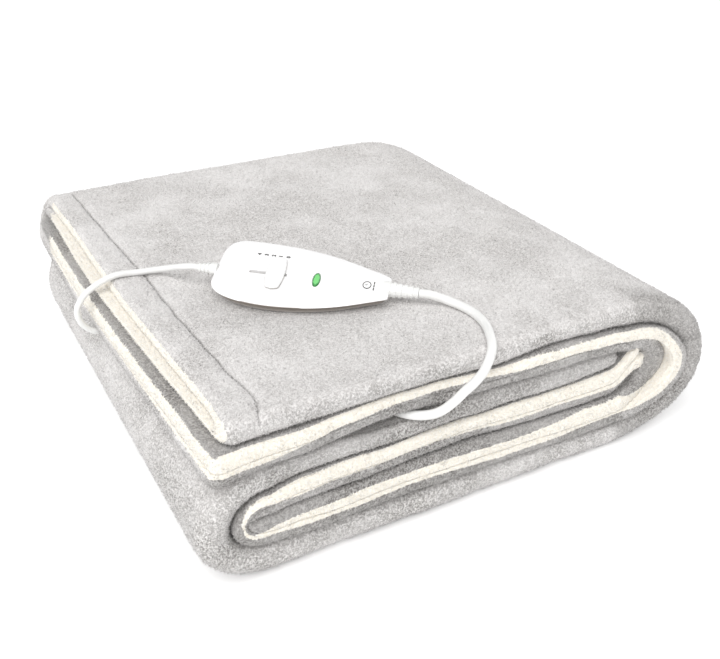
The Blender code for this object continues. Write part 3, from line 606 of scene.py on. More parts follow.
def fold_centre(point, faces, fold_y):
    """Middle of the fold a point is on, as (y, n), and whether its face is the outer one."""
    a1, a2, a3, a4, a5, a6, a7, a8 = faces
    back_y = DEPTH - (a1 - a8) / 2
    plies = {point.ply_a, point.ply_b}
    grey = point.face == "grey"
    if plies == {0, 1}:
        return fold_y + (a1 - a4) / 2, (a1 + a4) / 2, grey
    if plies == {0, 3}:
        return back_y, (a1 + a8) / 2 if grey else (a2 + a7) / 2, grey
    return back_y, (a4 + a5) / 2 if grey else (a3 + a6) / 2, not grey


def slimmed(point, faces, fold_y, slim, toward):
    """A point drawn in to the middle of the cloth, as the cloth's edge rounds off."""
    if point.ply_a == point.ply_b:
        grey, cream = faces[2 * point.ply_a], faces[2 * point.ply_a + 1]
        if point.ply_a % 2:
            grey, cream = cream, grey
        middle = blend(grey, cream, toward)
        return point.y, middle + (point.n - middle) * slim
    centre_y, centre_n, outer = fold_centre(point, faces, fold_y)
    arm = Vector((point.y - centre_y, point.n - centre_n))
    change = (faces[0] - faces[1]) * (1 - slim)
    change *= toward if point.face == "grey" else 1 - toward
    arm = arm.normalized() * max(arm.length + (-change if outer else change), 0.0001)
    return centre_y + arm.x, centre_n + arm.y


CREAM_FAR = 0.004         # a signed distance into the cream that counts as wholly cream
GREY_EDGE = 0.0024        # how thick the grey shows round the closed fold's end
# On the left end: the levels between which the cream shows, where it ends at the back, and how
# steeply it does, for the upper and for the lower pair.
UPPER_CREAM, LOWER_CREAM = (0.0026, 0.0164, 0.424, 0.5), (-0.0158, -0.0012, 0.385, 0.3)


def end_cream(side, point, faces, fold_y, y, n):
    """Signed distance into the cream on the rounded edge at the cloth's end."""
    if point.ply_a != point.ply_b:
        if {point.ply_a, point.ply_b} != {0, 1}:
            return -CREAM_FAR
        centre_y, centre_n, _ = fold_centre(point, faces, fold_y)
        inside = (faces[0] - faces[3]) / 2 - GREY_EDGE
        return inside - Vector((y - centre_y, n - centre_n)).length
    if side == "left":
        low, high, ends, slope = UPPER_CREAM if point.ply_a < 2 else LOWER_CREAM
        return min(n - low, high - n, (ends - y) * slope)
    return -CREAM_FAR if point.ply_a < 2 else CREAM_FAR


def hem_cream(station, faces, n):
    """Signed distance into the cream on the front hems."""
    low, high = station.cream
    inner = -faces[7]
    return min(-n / inner - low, high + n / inner) * inner


# How deep in the pile's own shadow each place lies, from 0 to 1, which is painted as darker pile:
# the front of each run, the crease under it and its hems, and the hollow of the right turn, the
# faces between two sections, the seam, the fold under the upper run, and the grey behind the left
# hems.
FRONT_SHADE = {"top": 0.02, "right": 0.42, "bottom": 0.0, "left": 0.0, "middle": 0.26}
CREASE_SHADE = {"top": 0.55, "right": 0.50}
HEM_SHADE = {"top": 0.50, "right": 0.32, "bottom": 0.58, "left": 0.62, "middle": 0.45}
HOLLOW_SHADE, DEEP_SHADE, SEAM_SHADE, UNDER_SHADE, BEHIND_SHADE = 0.16, 0.55, 0.5, 0.8, 0.30
# The recess at which a hem's hollow is at its darkest, the share of a fold that is in the upper
# run's shadow, the shares of it at which the crease begins and over which it deepens, how far back
# the front's shade goes, and how far in from the left the grey behind the hems does.
FULL_RECESS, UNDER_SHARE, CREASE_FROM, CREASE_RUN = 0.012, 0.25, 0.62, 0.30
FRONT_RUN, BEHIND_RUN = 0.04, 0.02


def shade(station, point, x, y):
    """How far a place is hidden in a crease, where the pile is painted darker as shade."""
    plies = {point.ply_a, point.ply_b}
    if point.face == "nose":
        hollow = (point.ply_a == 3) * ease(station.recess / FULL_RECESS)
        return HEM_SHADE[station.run] + HOLLOW_SHADE * hollow
    if point.face == "cream":
        return 0.0
    if plies == {0, 1}:
        front = FRONT_SHADE[station.run]
        under = ease((UNDER_SHARE - point.t) / UNDER_SHARE) if station.run == "middle" else 0.0
        crease = ease((point.t - CREASE_FROM) / CREASE_RUN)
        crease *= CREASE_SHADE.get(station.run, 1.0)
        return max(front, crease, UNDER_SHADE * under)
    if plies == {0}:
        if station.run == "top":
            return SEAM_SHADE * ease((seam_drop(x, y) - TROUGH_DEEP) / SEAM_DEEP)
        return FRONT_SHADE[station.run] * fade(y, 0.0, FRONT_RUN)
    if plies == {0, 3}:
        return 0.0
    if plies == {3} and station.run == "top" and x < BEHIND_RUN:
        return BEHIND_SHADE
    if plies == {3} and station.run == "right":
        return HEM_SHADE["right"] + HOLLOW_SHADE
    return DEEP_SHADE


# How thickly the tufts stand on the outer face of the runs that show it, how much more of them
# there are near the front, and how many on the back.
COVER, NEAR_COVER, BACK_COVER = {"top": 0.7, "right": 0.5, "left": 0.5}, 0.3, 0.35
# From where and over what distance back the tufts thin out: the extra ones near the front, those
# on the front of the runs inside, and those on the faces between two layers; and how far round a
# fold they go.
NEAR_FADE, FRONT_FADE, INSIDE_FADE = (0.15, 0.25), (0.006, 0.020), (0.006, 0.008)
FOLD_COVERED = 0.95


def pile_cover(station, point):
    """How thickly the tufts stand at a place, from 0 where nothing can be seen."""
    plies = {point.ply_a, point.ply_b}
    if point.face == "nose":
        return 1.0
    if point.face == "cream":
        return 0.0
    if plies == {0}:
        if station.run not in COVER:
            return fade(point.y, *FRONT_FADE)
        return COVER[station.run] + NEAR_COVER * fade(point.y, *NEAR_FADE)
    if plies == {0, 1}:
        return 1.0 if point.t < FOLD_COVERED else 0.0
    if plies == {0, 3}:
        return BACK_COVER
    return fade(point.y, *INSIDE_FADE)


def seam_drop(x, y):
    """Depth of the stitched seam's groove on the top, near the left end."""
    away = abs(x - read_table(SEAM_LINE, y)[0] - waves(SEAM_WAVES, y))
    return (SEAM_DEEP * max(0.0, 1 - (away / SEAM_HALF) ** 2) ** 1.5
            + TROUGH_DEEP * max(0.0, 1 - (away / TROUGH_HALF) ** 2) ** 2)


def sewn(point, faces, fold_y, x, y, n):
    """A point of the top or of its front fold, pressed in where the seam runs."""
    drop = seam_drop(x, point.y)
    if point.ply_b == 0:
        return y, n - drop
    centre_y, centre_n, _ = fold_centre(point, faces, fold_y)
    arm = Vector((y - centre_y, n - centre_n))
    arm *= 1 - drop * fade(point.t, *SEAM_FADE) / arm.length
    return centre_y + arm.x, centre_n + arm.y


# What lies on the blanket, as straight stretches: the cloth stays level under them.
RESTING = (((0.066, 0.183), (0.174, 0.095), 0.040), ((0.060, 0.190), (0.030, 0.222), 0.010),
           ((0.030, 0.222), (-0.030, 0.236), 0.010), ((0.174, 0.095), (0.218, 0.052), 0.012),
           ((0.218, 0.052), (0.200, -0.020), 0.012))
# How high the rest of the top rises and falls, in noise of two sizes, from what distance on, how
# wide a margin it leaves at the front and the back, and over what distance it starts from the seam.
HEAVE, HEAVE_FINE, HEAVE_CLEAR, HEAVE_MARGIN, HEAVE_RUN = 0.0040, 0.45, 0.045, 0.05, 0.04
HEAVE_NOISE = ((0.16, 0.13, 3.7), (0.055, 0.060, 8.2))   # lengths along and across, and a seed


def heave(x, y):
    """The gentle rise and fall of the top where nothing lies on it."""
    clear = 1.0
    for a, b, width in RESTING:
        a, b, place = Vector(a), Vector(b), Vector((x, y))
        t = clamp((place - a).dot(b - a) / (b - a).length_squared)
        clear *= ease(((place - a.lerp(b, t)).length - width) / HEAVE_CLEAR)
    edge = (ease(y / HEAVE_MARGIN) * ease((DEPTH - y) / HEAVE_MARGIN)
            * ease((x - SEAM_TO) / HEAVE_RUN))
    wide, fine = (noise.noise(Vector((x / long, y / deep, seed)))
                  for long, deep, seed in HEAVE_NOISE)
    return HEAVE * (wide + HEAVE_FINE * fine) * clear * edge


def end_point(station, faces, fold_y, point, cream, pile):
    """A point near one of the cloth's ends, as x, y and n, its lift, and its cream and pile."""
    side, e = station.end
    begin, plies = ((LEFT_END_FROM, LEFT_END) if side == "left"
                    else (RIGHT_END_FROM, RIGHT_END))
    a, b, t = plies[point.ply_a], plies[point.ply_b], ease(point.t)
    y, n, lift = point.y, point.n, 0.0
    tip = blend(read_table(a.tips, y)[0], read_table(b.tips, y)[0], t)
    x = blend(begin, tip, e)
    left, reach = abs(tip - x), blend(a.nose, b.nose, t)
    if left < reach:
        slim = (1 - (1 - left / reach) ** a.square) ** (1 / a.square)
        y, n = slimmed(point, faces, fold_y, slim, blend(a.toward, b.toward, t))
    if left < reach * END_EDGE:
        cream = end_cream(side, point, faces, fold_y, y, n)
        pile = 1.0 if side == "left" else RIGHT_PILE * fade(y, 0.0, RIGHT_PILE_RUN)
    if left < END_CORNER and y < 2 * END_CORNER:
        pull = END_CORNER * (1 - (1 - (1 - left / END_CORNER) ** 2) ** 0.5)
        y += pull * fade(y, 0.0, 2 * END_CORNER)
    if side == "right":
        lift = blend(a.lift, b.lift, t) * ease((x - RIGHT_LIFT_FROM) / RIGHT_LIFT_RUN)
    return x, y, n, lift, cream, pile


def strip_point(station, faces, edges, point):
    """A section's point in place, its signed distance into the cream, its shade and pile."""
    x, y, n, lift = station.x, point.y, point.n, 0.0
    cream, pile = CREAM_FAR if point.face == "cream" else -CREAM_FAR, pile_cover(station, point)
    if point.face == "nose":
        cream = hem_cream(station, faces, n)
    if station.end:
        x, y, n, lift, cream, pile = end_point(station, faces, edges[0], point, cream, pile)
    if station.run == "top" and point.face == "grey" and (point.ply_a, point.ply_b) != (1, 1):
        if point.ply_a == 0 and x < SEAM_TO:
            y, n = sewn(point, faces, edges[0], x, y, n)
        n += heave(x, y) * (point.ply_a == point.ply_b == 0)
    x, z = Vector((x, station.z)) + (station.outwards * n if n > 0 else station.inwards * -n)
    x += LEFT_DRAW * station.draw * max(y, 0.0) / DEPTH
    return Vector((x, y, z + lift)), cream, shade(station, point, x, y), pile


def make_blanket(material):
    bm = bmesh.new()
    cream_layer = bm.verts.layers.float.new("cream")
    shade_layer = bm.verts.layers.float.new("shade")
    pile_layer = bm.verts.layers.float.new("pile")
    rows = []
    for station in strip_stations():
        faces, edges = ply_faces(station), front_edges(station)
        row = []
        for point in section(station, *edges):
            place, cream, deep, pile = strip_point(station, faces, edges, point)
            vert = bm.verts.new(place - MIDDLE)
            vert[cream_layer] = clamp(0.5 + cream / (2 * CREAM_FAR))
            vert[shade_layer] = deep
            vert[pile_layer] = pile
            row.append(vert)
        rows.append(row)
    count = len(rows[0])
    for row, following in zip(rows, rows[1:]):
        for i in range(count):
            j = (i + 1) % count
            bm.faces.new((row[i], row[j], following[j], following[i]))
    for row in (rows[0], rows[-1]):
        close_end(bm, row)
    bmesh.ops.recalc_face_normals(bm, faces=bm.faces)
    mesh = to_mesh(bm, "blanket_plush")
    mesh.shade_smooth()
    mesh.materials.append(material)
    return add_object(mesh.name, mesh)


def shares_along(row):
    """Each vertex's share of the row's length."""
    sums = [0.0]
    for a, b in zip(row, row[1:]):
        sums.append(sums[-1] + (b.co - a.co).length)
    return [s / sums[-1] for s in sums]


def close_end(bm, row):
    """Bridges the grey and the cream side of the cloth at one of its ends."""
    hem = NOSE_STEPS - 1
    grey, cream = row[:GREY_POINTS], row[GREY_POINTS + hem:-hem][::-1]
    bm.faces.new([grey[-1], *row[GREY_POINTS:GREY_POINTS + hem], cream[-1]])
    bm.faces.new([cream[0], *row[-hem:], grey[0]])
    grey_at, cream_at = shares_along(grey), shares_along(cream)
    i = j = 0
    while i < len(grey) - 1 or j < len(cream) - 1:
        grey_next = grey_at[i + 1] if i < len(grey) - 1 else 2.0
        cream_next = cream_at[j + 1] if j < len(cream) - 1 else 2.0
        if grey_next <= cream_next:
            bm.faces.new((grey[i], grey[i + 1], cream[j]))
            i += 1
        else:
            bm.faces.new((grey[i], cream[j + 1], cream[j]))
            j += 1


# ---- blanket: pile
PILE_PIECES, TUFTS_EACH, PILE_SEED = 4, 45000, 11
TUFT_LONG, TUFT_HALF = (0.0008, 0.0019), (0.00040, 0.00070)
TUFT_ROOT = 0.0005        # how deep a tuft's foot is sunk
TUFT_LEAN = 0.45
TUFT_FACES = ((0, 2, 1), (0, 1, 3), (1, 2, 3), (2, 0, 3))
CASE_CLEAR = 0.0015       # how far in front of the hand control the pile lies flat
FLAT_TIP = 0.0002         # how deep the tip of a tuft that lies flat is sunk
CASE_REACH = 0.030        # how far above and below the hand control's parting line that holds
BELOW_ONE = 0.999999


def read_all(items, name, width=1, kind=np.float32):
    """One value of every item, or one row of values."""
    values = np.empty(len(items) * width, kind)
    items.foreach_get(name, values)
    return values.reshape(-1, width) if width > 1 else values


def unit(rows):
    return rows / np.maximum(np.linalg.norm(rows, axis=1, keepdims=True), 1e-9)


def under_case(foot):
    """Whether each place is under the hand control or at its very edge, where pile lies flat."""
    back = np.array(control_frame().inverted())
    own = foot @ back[:3, :3].T + back[:3, 3]
    along = [row[0] for row in CASE_WIDTHS]
    front, behind = (np.interp(own[:, 0], along, [row[k] for row in CASE_WIDTHS], 0.0, 0.0)
                     for k in (1, 2))
    inside = (-own[:, 1] < front + CASE_CLEAR) & (own[:, 1] < behind) & (front > 0)
    return inside & (np.abs(own[:, 2]) < CASE_REACH)


def tuft_corners(rng, foot, up):
    """Each tuft's cone: three corners round its foot, and its tip."""
    count = len(foot)
    lean = unit(up + rng.normal(0.0, TUFT_LEAN, (count, 3)))
    side = unit(np.cross(up, rng.normal(0.0, 1.0, (count, 3))))
    across = np.cross(up, side)
    half = blend(*TUFT_HALF, rng.random(count))[:, None]
    long = blend(*TUFT_LONG, rng.random(count))[:, None]
    corners = np.empty((count, 4, 3), np.float32)
    for k in range(3):
        turn = 2 * pi * k / 3
        corners[:, k] = foot - up * TUFT_ROOT + half * (cos(turn) * side + sin(turn) * across)
    corners[:, 3] = foot + lean * long
    covered = under_case(foot)
    corners[covered, 3] = foot[covered] - up[covered] * FLAT_TIP
    corners[:, :, 2] = np.maximum(corners[:, :, 2], 0.0)
    return corners


def tuft_mesh(name, corners):
    faces = np.array(TUFT_FACES, np.int32)
    first = 4 * np.arange(len(corners), dtype=np.int32)
    loops = (faces[None] + first[:, None, None]).ravel()
    mesh = bpy.data.meshes.new(name)
    mesh.vertices.add(4 * len(corners))
    mesh.vertices.foreach_set("co", corners.ravel())
    mesh.loops.add(len(loops))
    mesh.loops.foreach_set("vertex_index", loops)
    mesh.polygons.add(len(loops) // 3)
    mesh.polygons.foreach_set("loop_start", np.arange(0, len(loops), 3, dtype=np.int32))
    mesh.update(calc_edges=True)
    return mesh


def make_pile(blanket, material):
    """The plush's short tufts, as closed three-sided cones where the cloth can be seen."""
    mesh, rng = blanket.data, np.random.default_rng(PILE_SEED)
    mesh.calc_loop_triangles()
    places, normals = (read_all(mesh.vertices, name, 3) for name in ("co", "normal"))
    triangles = read_all(mesh.loop_triangles, "vertices", 3, np.int32)
    cream, shade, pile = (read_all(mesh.attributes[name].data, "value")
                          for name in ("cream", "shade", "pile"))
    a, b, c = (places[triangles[:, k]] for k in range(3))
    share = np.linalg.norm(np.cross(b - a, c - a), axis=1) * pile[triangles].mean(axis=1)
    sums = np.cumsum(share)
    pieces = []
    for number in range(PILE_PIECES):
        spots = rng.random(TUFTS_EACH) * BELOW_ONE
        chosen = triangles[np.searchsorted(sums / sums[-1], spots)]
        u, v = rng.random(TUFTS_EACH), rng.random(TUFTS_EACH)
        over = u + v > 1
        u[over], v[over] = 1 - u[over], 1 - v[over]
        weights = np.stack((1 - u - v, u, v), axis=1)
        foot = (places[chosen] * weights[:, :, None]).sum(axis=1)
        up = unit((normals[chosen] * weights[:, :, None]).sum(axis=1))
        tufts = tuft_mesh(f"plush_pile_{number + 1}", tuft_corners(rng, foot, up))
        for name, values in (("cream", (cream[chosen] * weights).sum(axis=1)),
                             ("shade", (shade[chosen] * weights).sum(axis=1)),
                             ("tone", rng.random(TUFTS_EACH))):
            layer = tufts.attributes.new(name, "FLOAT", "POINT")
            layer.data.foreach_set("value", np.repeat(values, 4).astype(np.float32))
        tufts.shade_smooth()
        tufts.materials.append(material)
        pieces.append(add_object(tufts.name, tufts))
    return pieces


# ---- hand control
CONTROL_LENGTH = 0.140
CONTROL_PLACE = Vector((0.1200, 0.1390, 0.1515))
CONTROL_TURN, CONTROL_TIP, CONTROL_DIP = radians(-39.0), radians(9.5), radians(-2.0)
FACE_RISE = radians(4.9)
UPPER_HEIGHT = 0.0062
LEAD_RELIEF_LENGTH, MAINS_RELIEF_LENGTH = 0.011, 0.024
GAP = 0.0003
CLOTH_TOP = 0.1380

# Half widths to the front and to the back, along the case from the lead's end.
CASE_WIDTHS = (
    (-0.0672, 0.0120, 0.0195), (-0.0664, 0.0182, 0.0272), (-0.0638, 0.0242, 0.0342),
    (-0.0572, 0.0302, 0.0386), (-0.0470, 0.0346, 0.0396), (-0.0330, 0.0376, 0.0394),
    (-0.0180, 0.0386, 0.0384), (-0.0020, 0.0377, 0.0370), (0.0140, 0.0353, 0.0342),
    (0.0290, 0.0314, 0.0306), (0.0430, 0.0263, 0.0260), (0.0550, 0.0209, 0.0214),
    (0.0642, 0.0166, 0.0180), (0.0694, 0.0140, 0.0150), (0.0714, 0.0104, 0.0110),
)
# Rings of each half of the case: height from the parting line and how far in it is drawn.
UPPER_PROFILE = ((0.0000, 0.0004), (0.0002, 0.0000), (0.0006, 0.0002), (0.0013, 0.0008),
                 (0.0022, 0.0017), (0.0031, 0.0028), (0.0040, 0.0041), (0.0048, 0.0055),
                 (0.0054, 0.0069), (0.0058, 0.0083), (0.0061, 0.0100), (UPPER_HEIGHT, 0.0118))
LOWER_PROFILE = ((0.0003, 0.0040), (0.0006, 0.0034), (0.0020, 0.0034), (0.0040, 0.0036),
                 (0.0060, 0.0033), (0.0080, 0.0050), (0.0097, 0.0070), (0.0110, 0.0095),
                 (0.0122, 0.0125), (0.0130, 0.0160))
OUTLINE_STEPS = 6
LEAST_HALF = 0.0015       # of the outline's narrowest ring
SHARP, KNOB_SHARP, LENS_SHARP = radians(38.0), radians(50.0), radians(60.0)
# How much painted shade the case gets in its slot and below the parting line by depth, and how much
# of that is left at the back, over what width; the knob's foot gets as much painted shade as its
# heights say.
SLOT_DARK, PARTING_DARK = 0.35, ((0.0020, 1.0), (0.0050, 0.9), (0.0078, 0.55), (0.0110, 0.30))
FAR_DARK, FAR_FADE, KNOB_DARK = 0.3, 0.020, ((0.0005, 0.9), (0.0014, 0.25), (0.0020, 0.0))

SLOT_FROM, SLOT_TO, SLOT_WIDTH = -0.0390, -0.0090, 0.0032
SLOT_DEPTH, SLOT_ACROSS = 0.0050, -0.0045
FIRST_SETTING, SETTING_STEP, SETTING = -0.0356, 0.0058, 3
KNOB_ALONG = FIRST_SETTING + SETTING * SETTING_STEP
KNOB_LENGTH, KNOB_WIDTH, KNOB_SQUARE, KNOB_STEPS = 0.0150, 0.0370, 22, 16
KNOB_WAISTS = ((1, 0.30), (-1, 0.45))     # how far each long side is drawn in at its ends
KNOB_TIP = 0.0002                         # half the knob's length at the very corners
FOOT_HALF, FOOT_TOP = 0.0030, 0.0015      # of the knob's foot in the slot
KNOB_PROFILE = ((0.0003, 0.0004), (0.0005, 0.0), (0.0014, 0.0), (0.0020, 0.0002),
                (0.0025, 0.0006), (0.0028, 0.0012), (0.0030, 0.0020))
LAMP_PLACE, LAMP_HALF = Vector((0.0145, -0.0058, 0.0)), Vector((0.0029, 0.0080))
LAMP_STEPS, SEAT_ROOM, SEAT_DEPTH = 48, 0.0004, 0.0012
# Rings of the lens: height over the face and share of its full size.
LENS_RINGS = ((-0.0010, 1.0), (-0.0001, 1.0), (0.0002, 0.94), (0.0004, 0.84), (0.0005, 0.70),
              (0.0006, 0.45), (0.00065, 0.2))


def control_frame():
    """The control's axes at its parting line: X to the mains end, Y to the back, Z up."""
    along = Vector((cos(CONTROL_TURN), sin(CONTROL_TURN), 0.0))
    back = Vector((-along.y, along.x, 0.0))
    turn = Matrix((along, back, Vector((0.0, 0.0, 1.0)))).transposed()
    tip = Matrix.Rotation(CONTROL_TIP, 3, "X") @ Matrix.Rotation(-CONTROL_DIP, 3, "Y")
    return Matrix.Translation(CONTROL_PLACE - MIDDLE) @ (turn @ tip).to_4x4()


def face_frame():
    """The same axes on the sloping face, where the knob, the lamp and the marks are."""
    return (control_frame() @ Matrix.Translation((0.0, 0.0, UPPER_HEIGHT))
            @ Matrix.Rotation(FACE_RISE, 4, "X"))


def control_ends():
    place, half = control_frame(), CONTROL_LENGTH / 2
    lead = place @ Matrix.Translation((-half, 0.0, 0.0)) @ Matrix.Rotation(pi, 4, "Z")
    return lead, place @ Matrix.Translation((half, 0.0, 0.0))


def case_outline(inset):
    """The case seen from above, as a smooth closed line drawn in by inset."""
    shrink = 1 - inset / (CONTROL_LENGTH / 2)
    corners = [Vector((x * shrink, -max(front - inset, LEAST_HALF)))
               for x, front, _ in CASE_WIDTHS]
    corners = corners[::-1] + [Vector((x * shrink, max(back - inset, LEAST_HALF)))
                               for x, _, back in CASE_WIDTHS]
    count, line = len(corners), []
    for i in range(count):
        p0, p1, p2, p3 = (corners[(i + k) % count] for k in (-1, 0, 1, 2))
        for k in range(OUTLINE_STEPS):
            t = k / OUTLINE_STEPS
            line.append(0.5 * (2 * p1 + (p2 - p0) * t + (2 * p0 - 5 * p1 + 4 * p2 - p3) * t * t
                               + (3 * p1 - p0 - 3 * p2 + p3) * t ** 3))
    return line


def loft(rings):
    """A closed body through rings of points, with a flat face at each end."""
    bm = bmesh.new()
    rows = [[bm.verts.new(place) for place in ring] for ring in rings]
    for lower, upper in zip(rows, rows[1:]):
        for i in range(len(lower)):
            j = (i + 1) % len(lower)
            bm.faces.new((lower[i], lower[j], upper[j], upper[i]))
    bm.faces.new(rows[0][::-1])
    bm.faces.new(rows[-1])
    bmesh.ops.recalc_face_normals(bm, faces=bm.faces)
    return bm


def add_box(bm, low, high):
    made = bmesh.ops.create_cube(bm, size=1.0)
    for vert in made["verts"]:
        vert.co = Vector(high[a] if vert.co[a] > 0 else low[a] for a in range(3))


def add_piece(name, bm, material, place=None, angle=SHARP):
    """An object from a bmesh in its own axes, with its place put into the mesh."""
    if place:
        bmesh.ops.transform(bm, matrix=place, verts=bm.verts)
    mesh = to_mesh(bm, name)
    mesh.shade_smooth()
    mesh.set_sharp_from_angle(angle=angle)
    mesh.materials.append(material)
    return add_object(name, mesh)


def cut_away(item, bm):
    """Takes a shape, given in the face's axes, out of a piece for good."""
    bmesh.ops.transform(bm, matrix=face_frame(), verts=bm.verts)
    cutter = add_object("cutter", to_mesh(bm, "cutter"))
    modifier = item.modifiers.new("cut", "BOOLEAN")
    modifier.operation, modifier.object = "DIFFERENCE", cutter
    graph = bpy.context.evaluated_depsgraph_get()
    made = bpy.data.meshes.new_from_object(item.evaluated_get(graph))
    item.modifiers.clear()
    old, item.data = item.data, made
    name = old.name
    bpy.data.meshes.remove(old)
    made.name = name
    made.shade_smooth()
    made.set_sharp_from_angle(angle=SHARP)
    cutter_mesh = cutter.data
    bpy.data.objects.remove(cutter)
    bpy.data.meshes.remove(cutter_mesh)


def lamp_ring(z, share=1.0, room=0.0):
    ring = []
    for i in range(LAMP_STEPS):
        angle = 2 * pi * i / LAMP_STEPS
        ring.append(LAMP_PLACE + Vector(((LAMP_HALF.x + room) * share * cos(angle),
                                         (LAMP_HALF.y + room) * share * sin(angle), z)))
    return ring


def near_dark(y):
    """How much of the painted shade under the parting line is left at a place across the case."""
    return blend(FAR_DARK, 1.0, ease(0.5 - y / FAR_FADE))


def make_case(material):
    slope = tan(FACE_RISE)
    upper = add_piece("control_case_upper", loft(
        [[Vector((p.x, p.y, h + slope * h / UPPER_HEIGHT * p.y)) for p in case_outline(inset)]
         for h, inset in UPPER_PROFILE]), material, control_frame())
    slot = bmesh.new()
    add_box(slot, (SLOT_FROM, SLOT_ACROSS - SLOT_WIDTH / 2, -SLOT_DEPTH),
            (SLOT_TO, SLOT_ACROSS + SLOT_WIDTH / 2, SLOT_DEPTH))
    cut_away(upper, slot)
    cut_away(upper, loft([lamp_ring(z, room=SEAT_ROOM) for z in (-SEAT_DEPTH, SEAT_DEPTH)]))
    back, level = face_frame().inverted(), control_frame().inverted()
    # The attribute 'deep' paints shade in the slot and under the parting line.
    deep = upper.data.attributes.new("deep", "FLOAT", "POINT")
    for vert, value in zip(upper.data.vertices, deep.data):
        place = back @ vert.co
        if (place.z < -0.0006 and SLOT_FROM - 0.0002 < place.x < SLOT_TO + 0.0002
                and abs(place.y - SLOT_ACROSS) < SLOT_WIDTH):
            value.value = SLOT_DARK
        elif (level @ vert.co).z < GAP:
            value.value = near_dark(place.y)

    bm = loft([[Vector((p.x, p.y, -h)) for p in case_outline(inset)]
               for h, inset in LOWER_PROFILE])
    # The lower half is painted with shade below the parting line, darker near the front.
    layer = bm.verts.layers.float.new("deep")
    for vert in bm.verts:
        vert[layer] = read_table(PARTING_DARK, -vert.co.z)[0] * near_dark(vert.co.y)
    bmesh.ops.transform(bm, matrix=control_frame(), verts=bm.verts)
    for vert in bm.verts:
        vert.co.z = max(vert.co.z, CLOTH_TOP + GAP)
    return upper, add_piece("control_case_lower", bm, material)


def knob_ring(height, inset):
    """The knob's outline, narrower at its ends than in the middle and round at its corners."""
    ring = []
    for side, waist in KNOB_WAISTS:
        for i in range(2 * KNOB_STEPS):
            t = side * (i / KNOB_STEPS - 1)
            half = ((KNOB_LENGTH / 2 - inset) * (1 - waist * t * t)
                    * (1 - abs(t) ** KNOB_SQUARE) ** 0.5)
            ring.append(Vector((side * max(half, KNOB_TIP * (1 - abs(t))),
                                t * (KNOB_WIDTH / 2 - inset), height)))
    return ring


def make_knob(material):
    bm = loft([knob_ring(height, inset) for height, inset in KNOB_PROFILE])
    # The knob's foot is painted with shade by height.
    layer = bm.verts.layers.float.new("deep")
    for vert in bm.verts:
        vert[layer] = read_table(KNOB_DARK, vert.co.z)[0]
    add_box(bm, (-FOOT_HALF, -SLOT_WIDTH / 2 + GAP, -SLOT_DEPTH + GAP),
            (FOOT_HALF, SLOT_WIDTH / 2 - GAP, FOOT_TOP))
    place = face_frame() @ Matrix.Translation((KNOB_ALONG, SLOT_ACROSS, 0.0))
    return add_piece("heat_knob", bm, material, place, KNOB_SHARP)


def make_lamp(material):
    """The lamp's window: a low dome with the 'rim' attribute for its darker edge."""
    bm = loft([lamp_ring(z, share) for z, share in LENS_RINGS])
    layer = bm.verts.layers.float.new("rim")
    for i, vert in enumerate(bm.verts):
        vert[layer] = LENS_RINGS[i // LAMP_STEPS][1]
    return add_piece("lamp_lens", bm, material, face_frame(), LENS_SHARP)


# The five settings from the lead's end, as places on the face, and the timer's plain mark: a ring,
# its two hands, and two dashes beside it, all from the ring's middle.
NUMERALS = (("4", -0.0356, 0.0169), ("3", -0.0298, 0.0169), ("2", -0.0240, 0.0169),
            ("1", -0.0184, 0.0169), ("0", -0.0122, 0.0169))
NUMERAL_SIZE, NUMERAL_BOLD = 0.0042, 0.00018
PRINT_THICK = 0.00006
TIMER_PLACE, TIMER_RADIUS, TIMER_LINE = Vector((0.0540, -0.0049, 0.0)), 0.0034, 0.0006
TIMER_DEEP, TIMER_STEPS = 1.25, 40        # how much longer the ring is across the case
TIMER_BARS = (((-0.0017, -0.0002), (0.0002, 0.0002)), ((-0.0002, 0.0002), (0.0002, 0.0014)),
              ((0.0051, -0.0052), (0.0059, -0.0024)), ((0.0051, -0.0017), (0.0059, 0.0008)),
              ((0.0051, 0.0015), (0.0059, 0.0046)))


def add_numeral(bm, text, x, y):
    curve = bpy.data.curves.new("numeral", "FONT")
    curve.body = text
    curve.size = NUMERAL_SIZE
    curve.extrude = PRINT_THICK
    curve.offset = NUMERAL_BOLD
    curve.resolution_u = 3
    curve.align_x, curve.align_y = "CENTER", "CENTER"
    item = add_object("numeral", curve)
    item.matrix_world = Matrix.Translation((x, y, PRINT_THICK)) @ Matrix.Rotation(pi / 2, 4, "Z")
    graph = bpy.context.evaluated_depsgraph_get()
    mesh = bpy.data.meshes.new_from_object(item.evaluated_get(graph))
    mesh.transform(item.matrix_world)
    bm.from_mesh(mesh)
    bpy.data.objects.remove(item)
    bpy.data.curves.remove(curve)
    bpy.data.meshes.remove(mesh)


def make_marks(material):
    """The settings' plain numerals and a plain clock ring, printed on the face."""
    bm = bmesh.new()
    for text, x, y in NUMERALS:
        add_numeral(bm, text, x, y)
    top, inner = 2 * PRINT_THICK, TIMER_RADIUS - TIMER_LINE
    corners = ((TIMER_RADIUS, 0.0), (TIMER_RADIUS, top), (inner, top), (inner, 0.0))
    rows = []
    for i in range(TIMER_STEPS):
        angle = 2 * pi * i / TIMER_STEPS
        rows.append([bm.verts.new(TIMER_PLACE + Vector((r * cos(angle),
                                                        TIMER_DEEP * r * sin(angle), z)))
                     for r, z in corners])
    for i in range(TIMER_STEPS):
        here, following = rows[i], rows[(i + 1) % TIMER_STEPS]
        for k in range(4):
            bm.faces.new((here[k], following[k], following[(k + 1) % 4], here[(k + 1) % 4]))
    x, y = TIMER_PLACE.x, TIMER_PLACE.y
    for low, high in TIMER_BARS:
        add_box(bm, (x + low[0], y + low[1], 0.0), (x + high[0], y + high[1], top))
    bmesh.ops.recalc_face_normals(bm, faces=bm.faces)
    return add_piece("dial_marks", bm, material, face_frame())


CASE_WHITE, KNOB_WHITE, PRINT_BLACK = ((0.92, 0.915, 0.912), (0.92, 0.92, 0.912),
                                      (0.045, 0.042, 0.040))


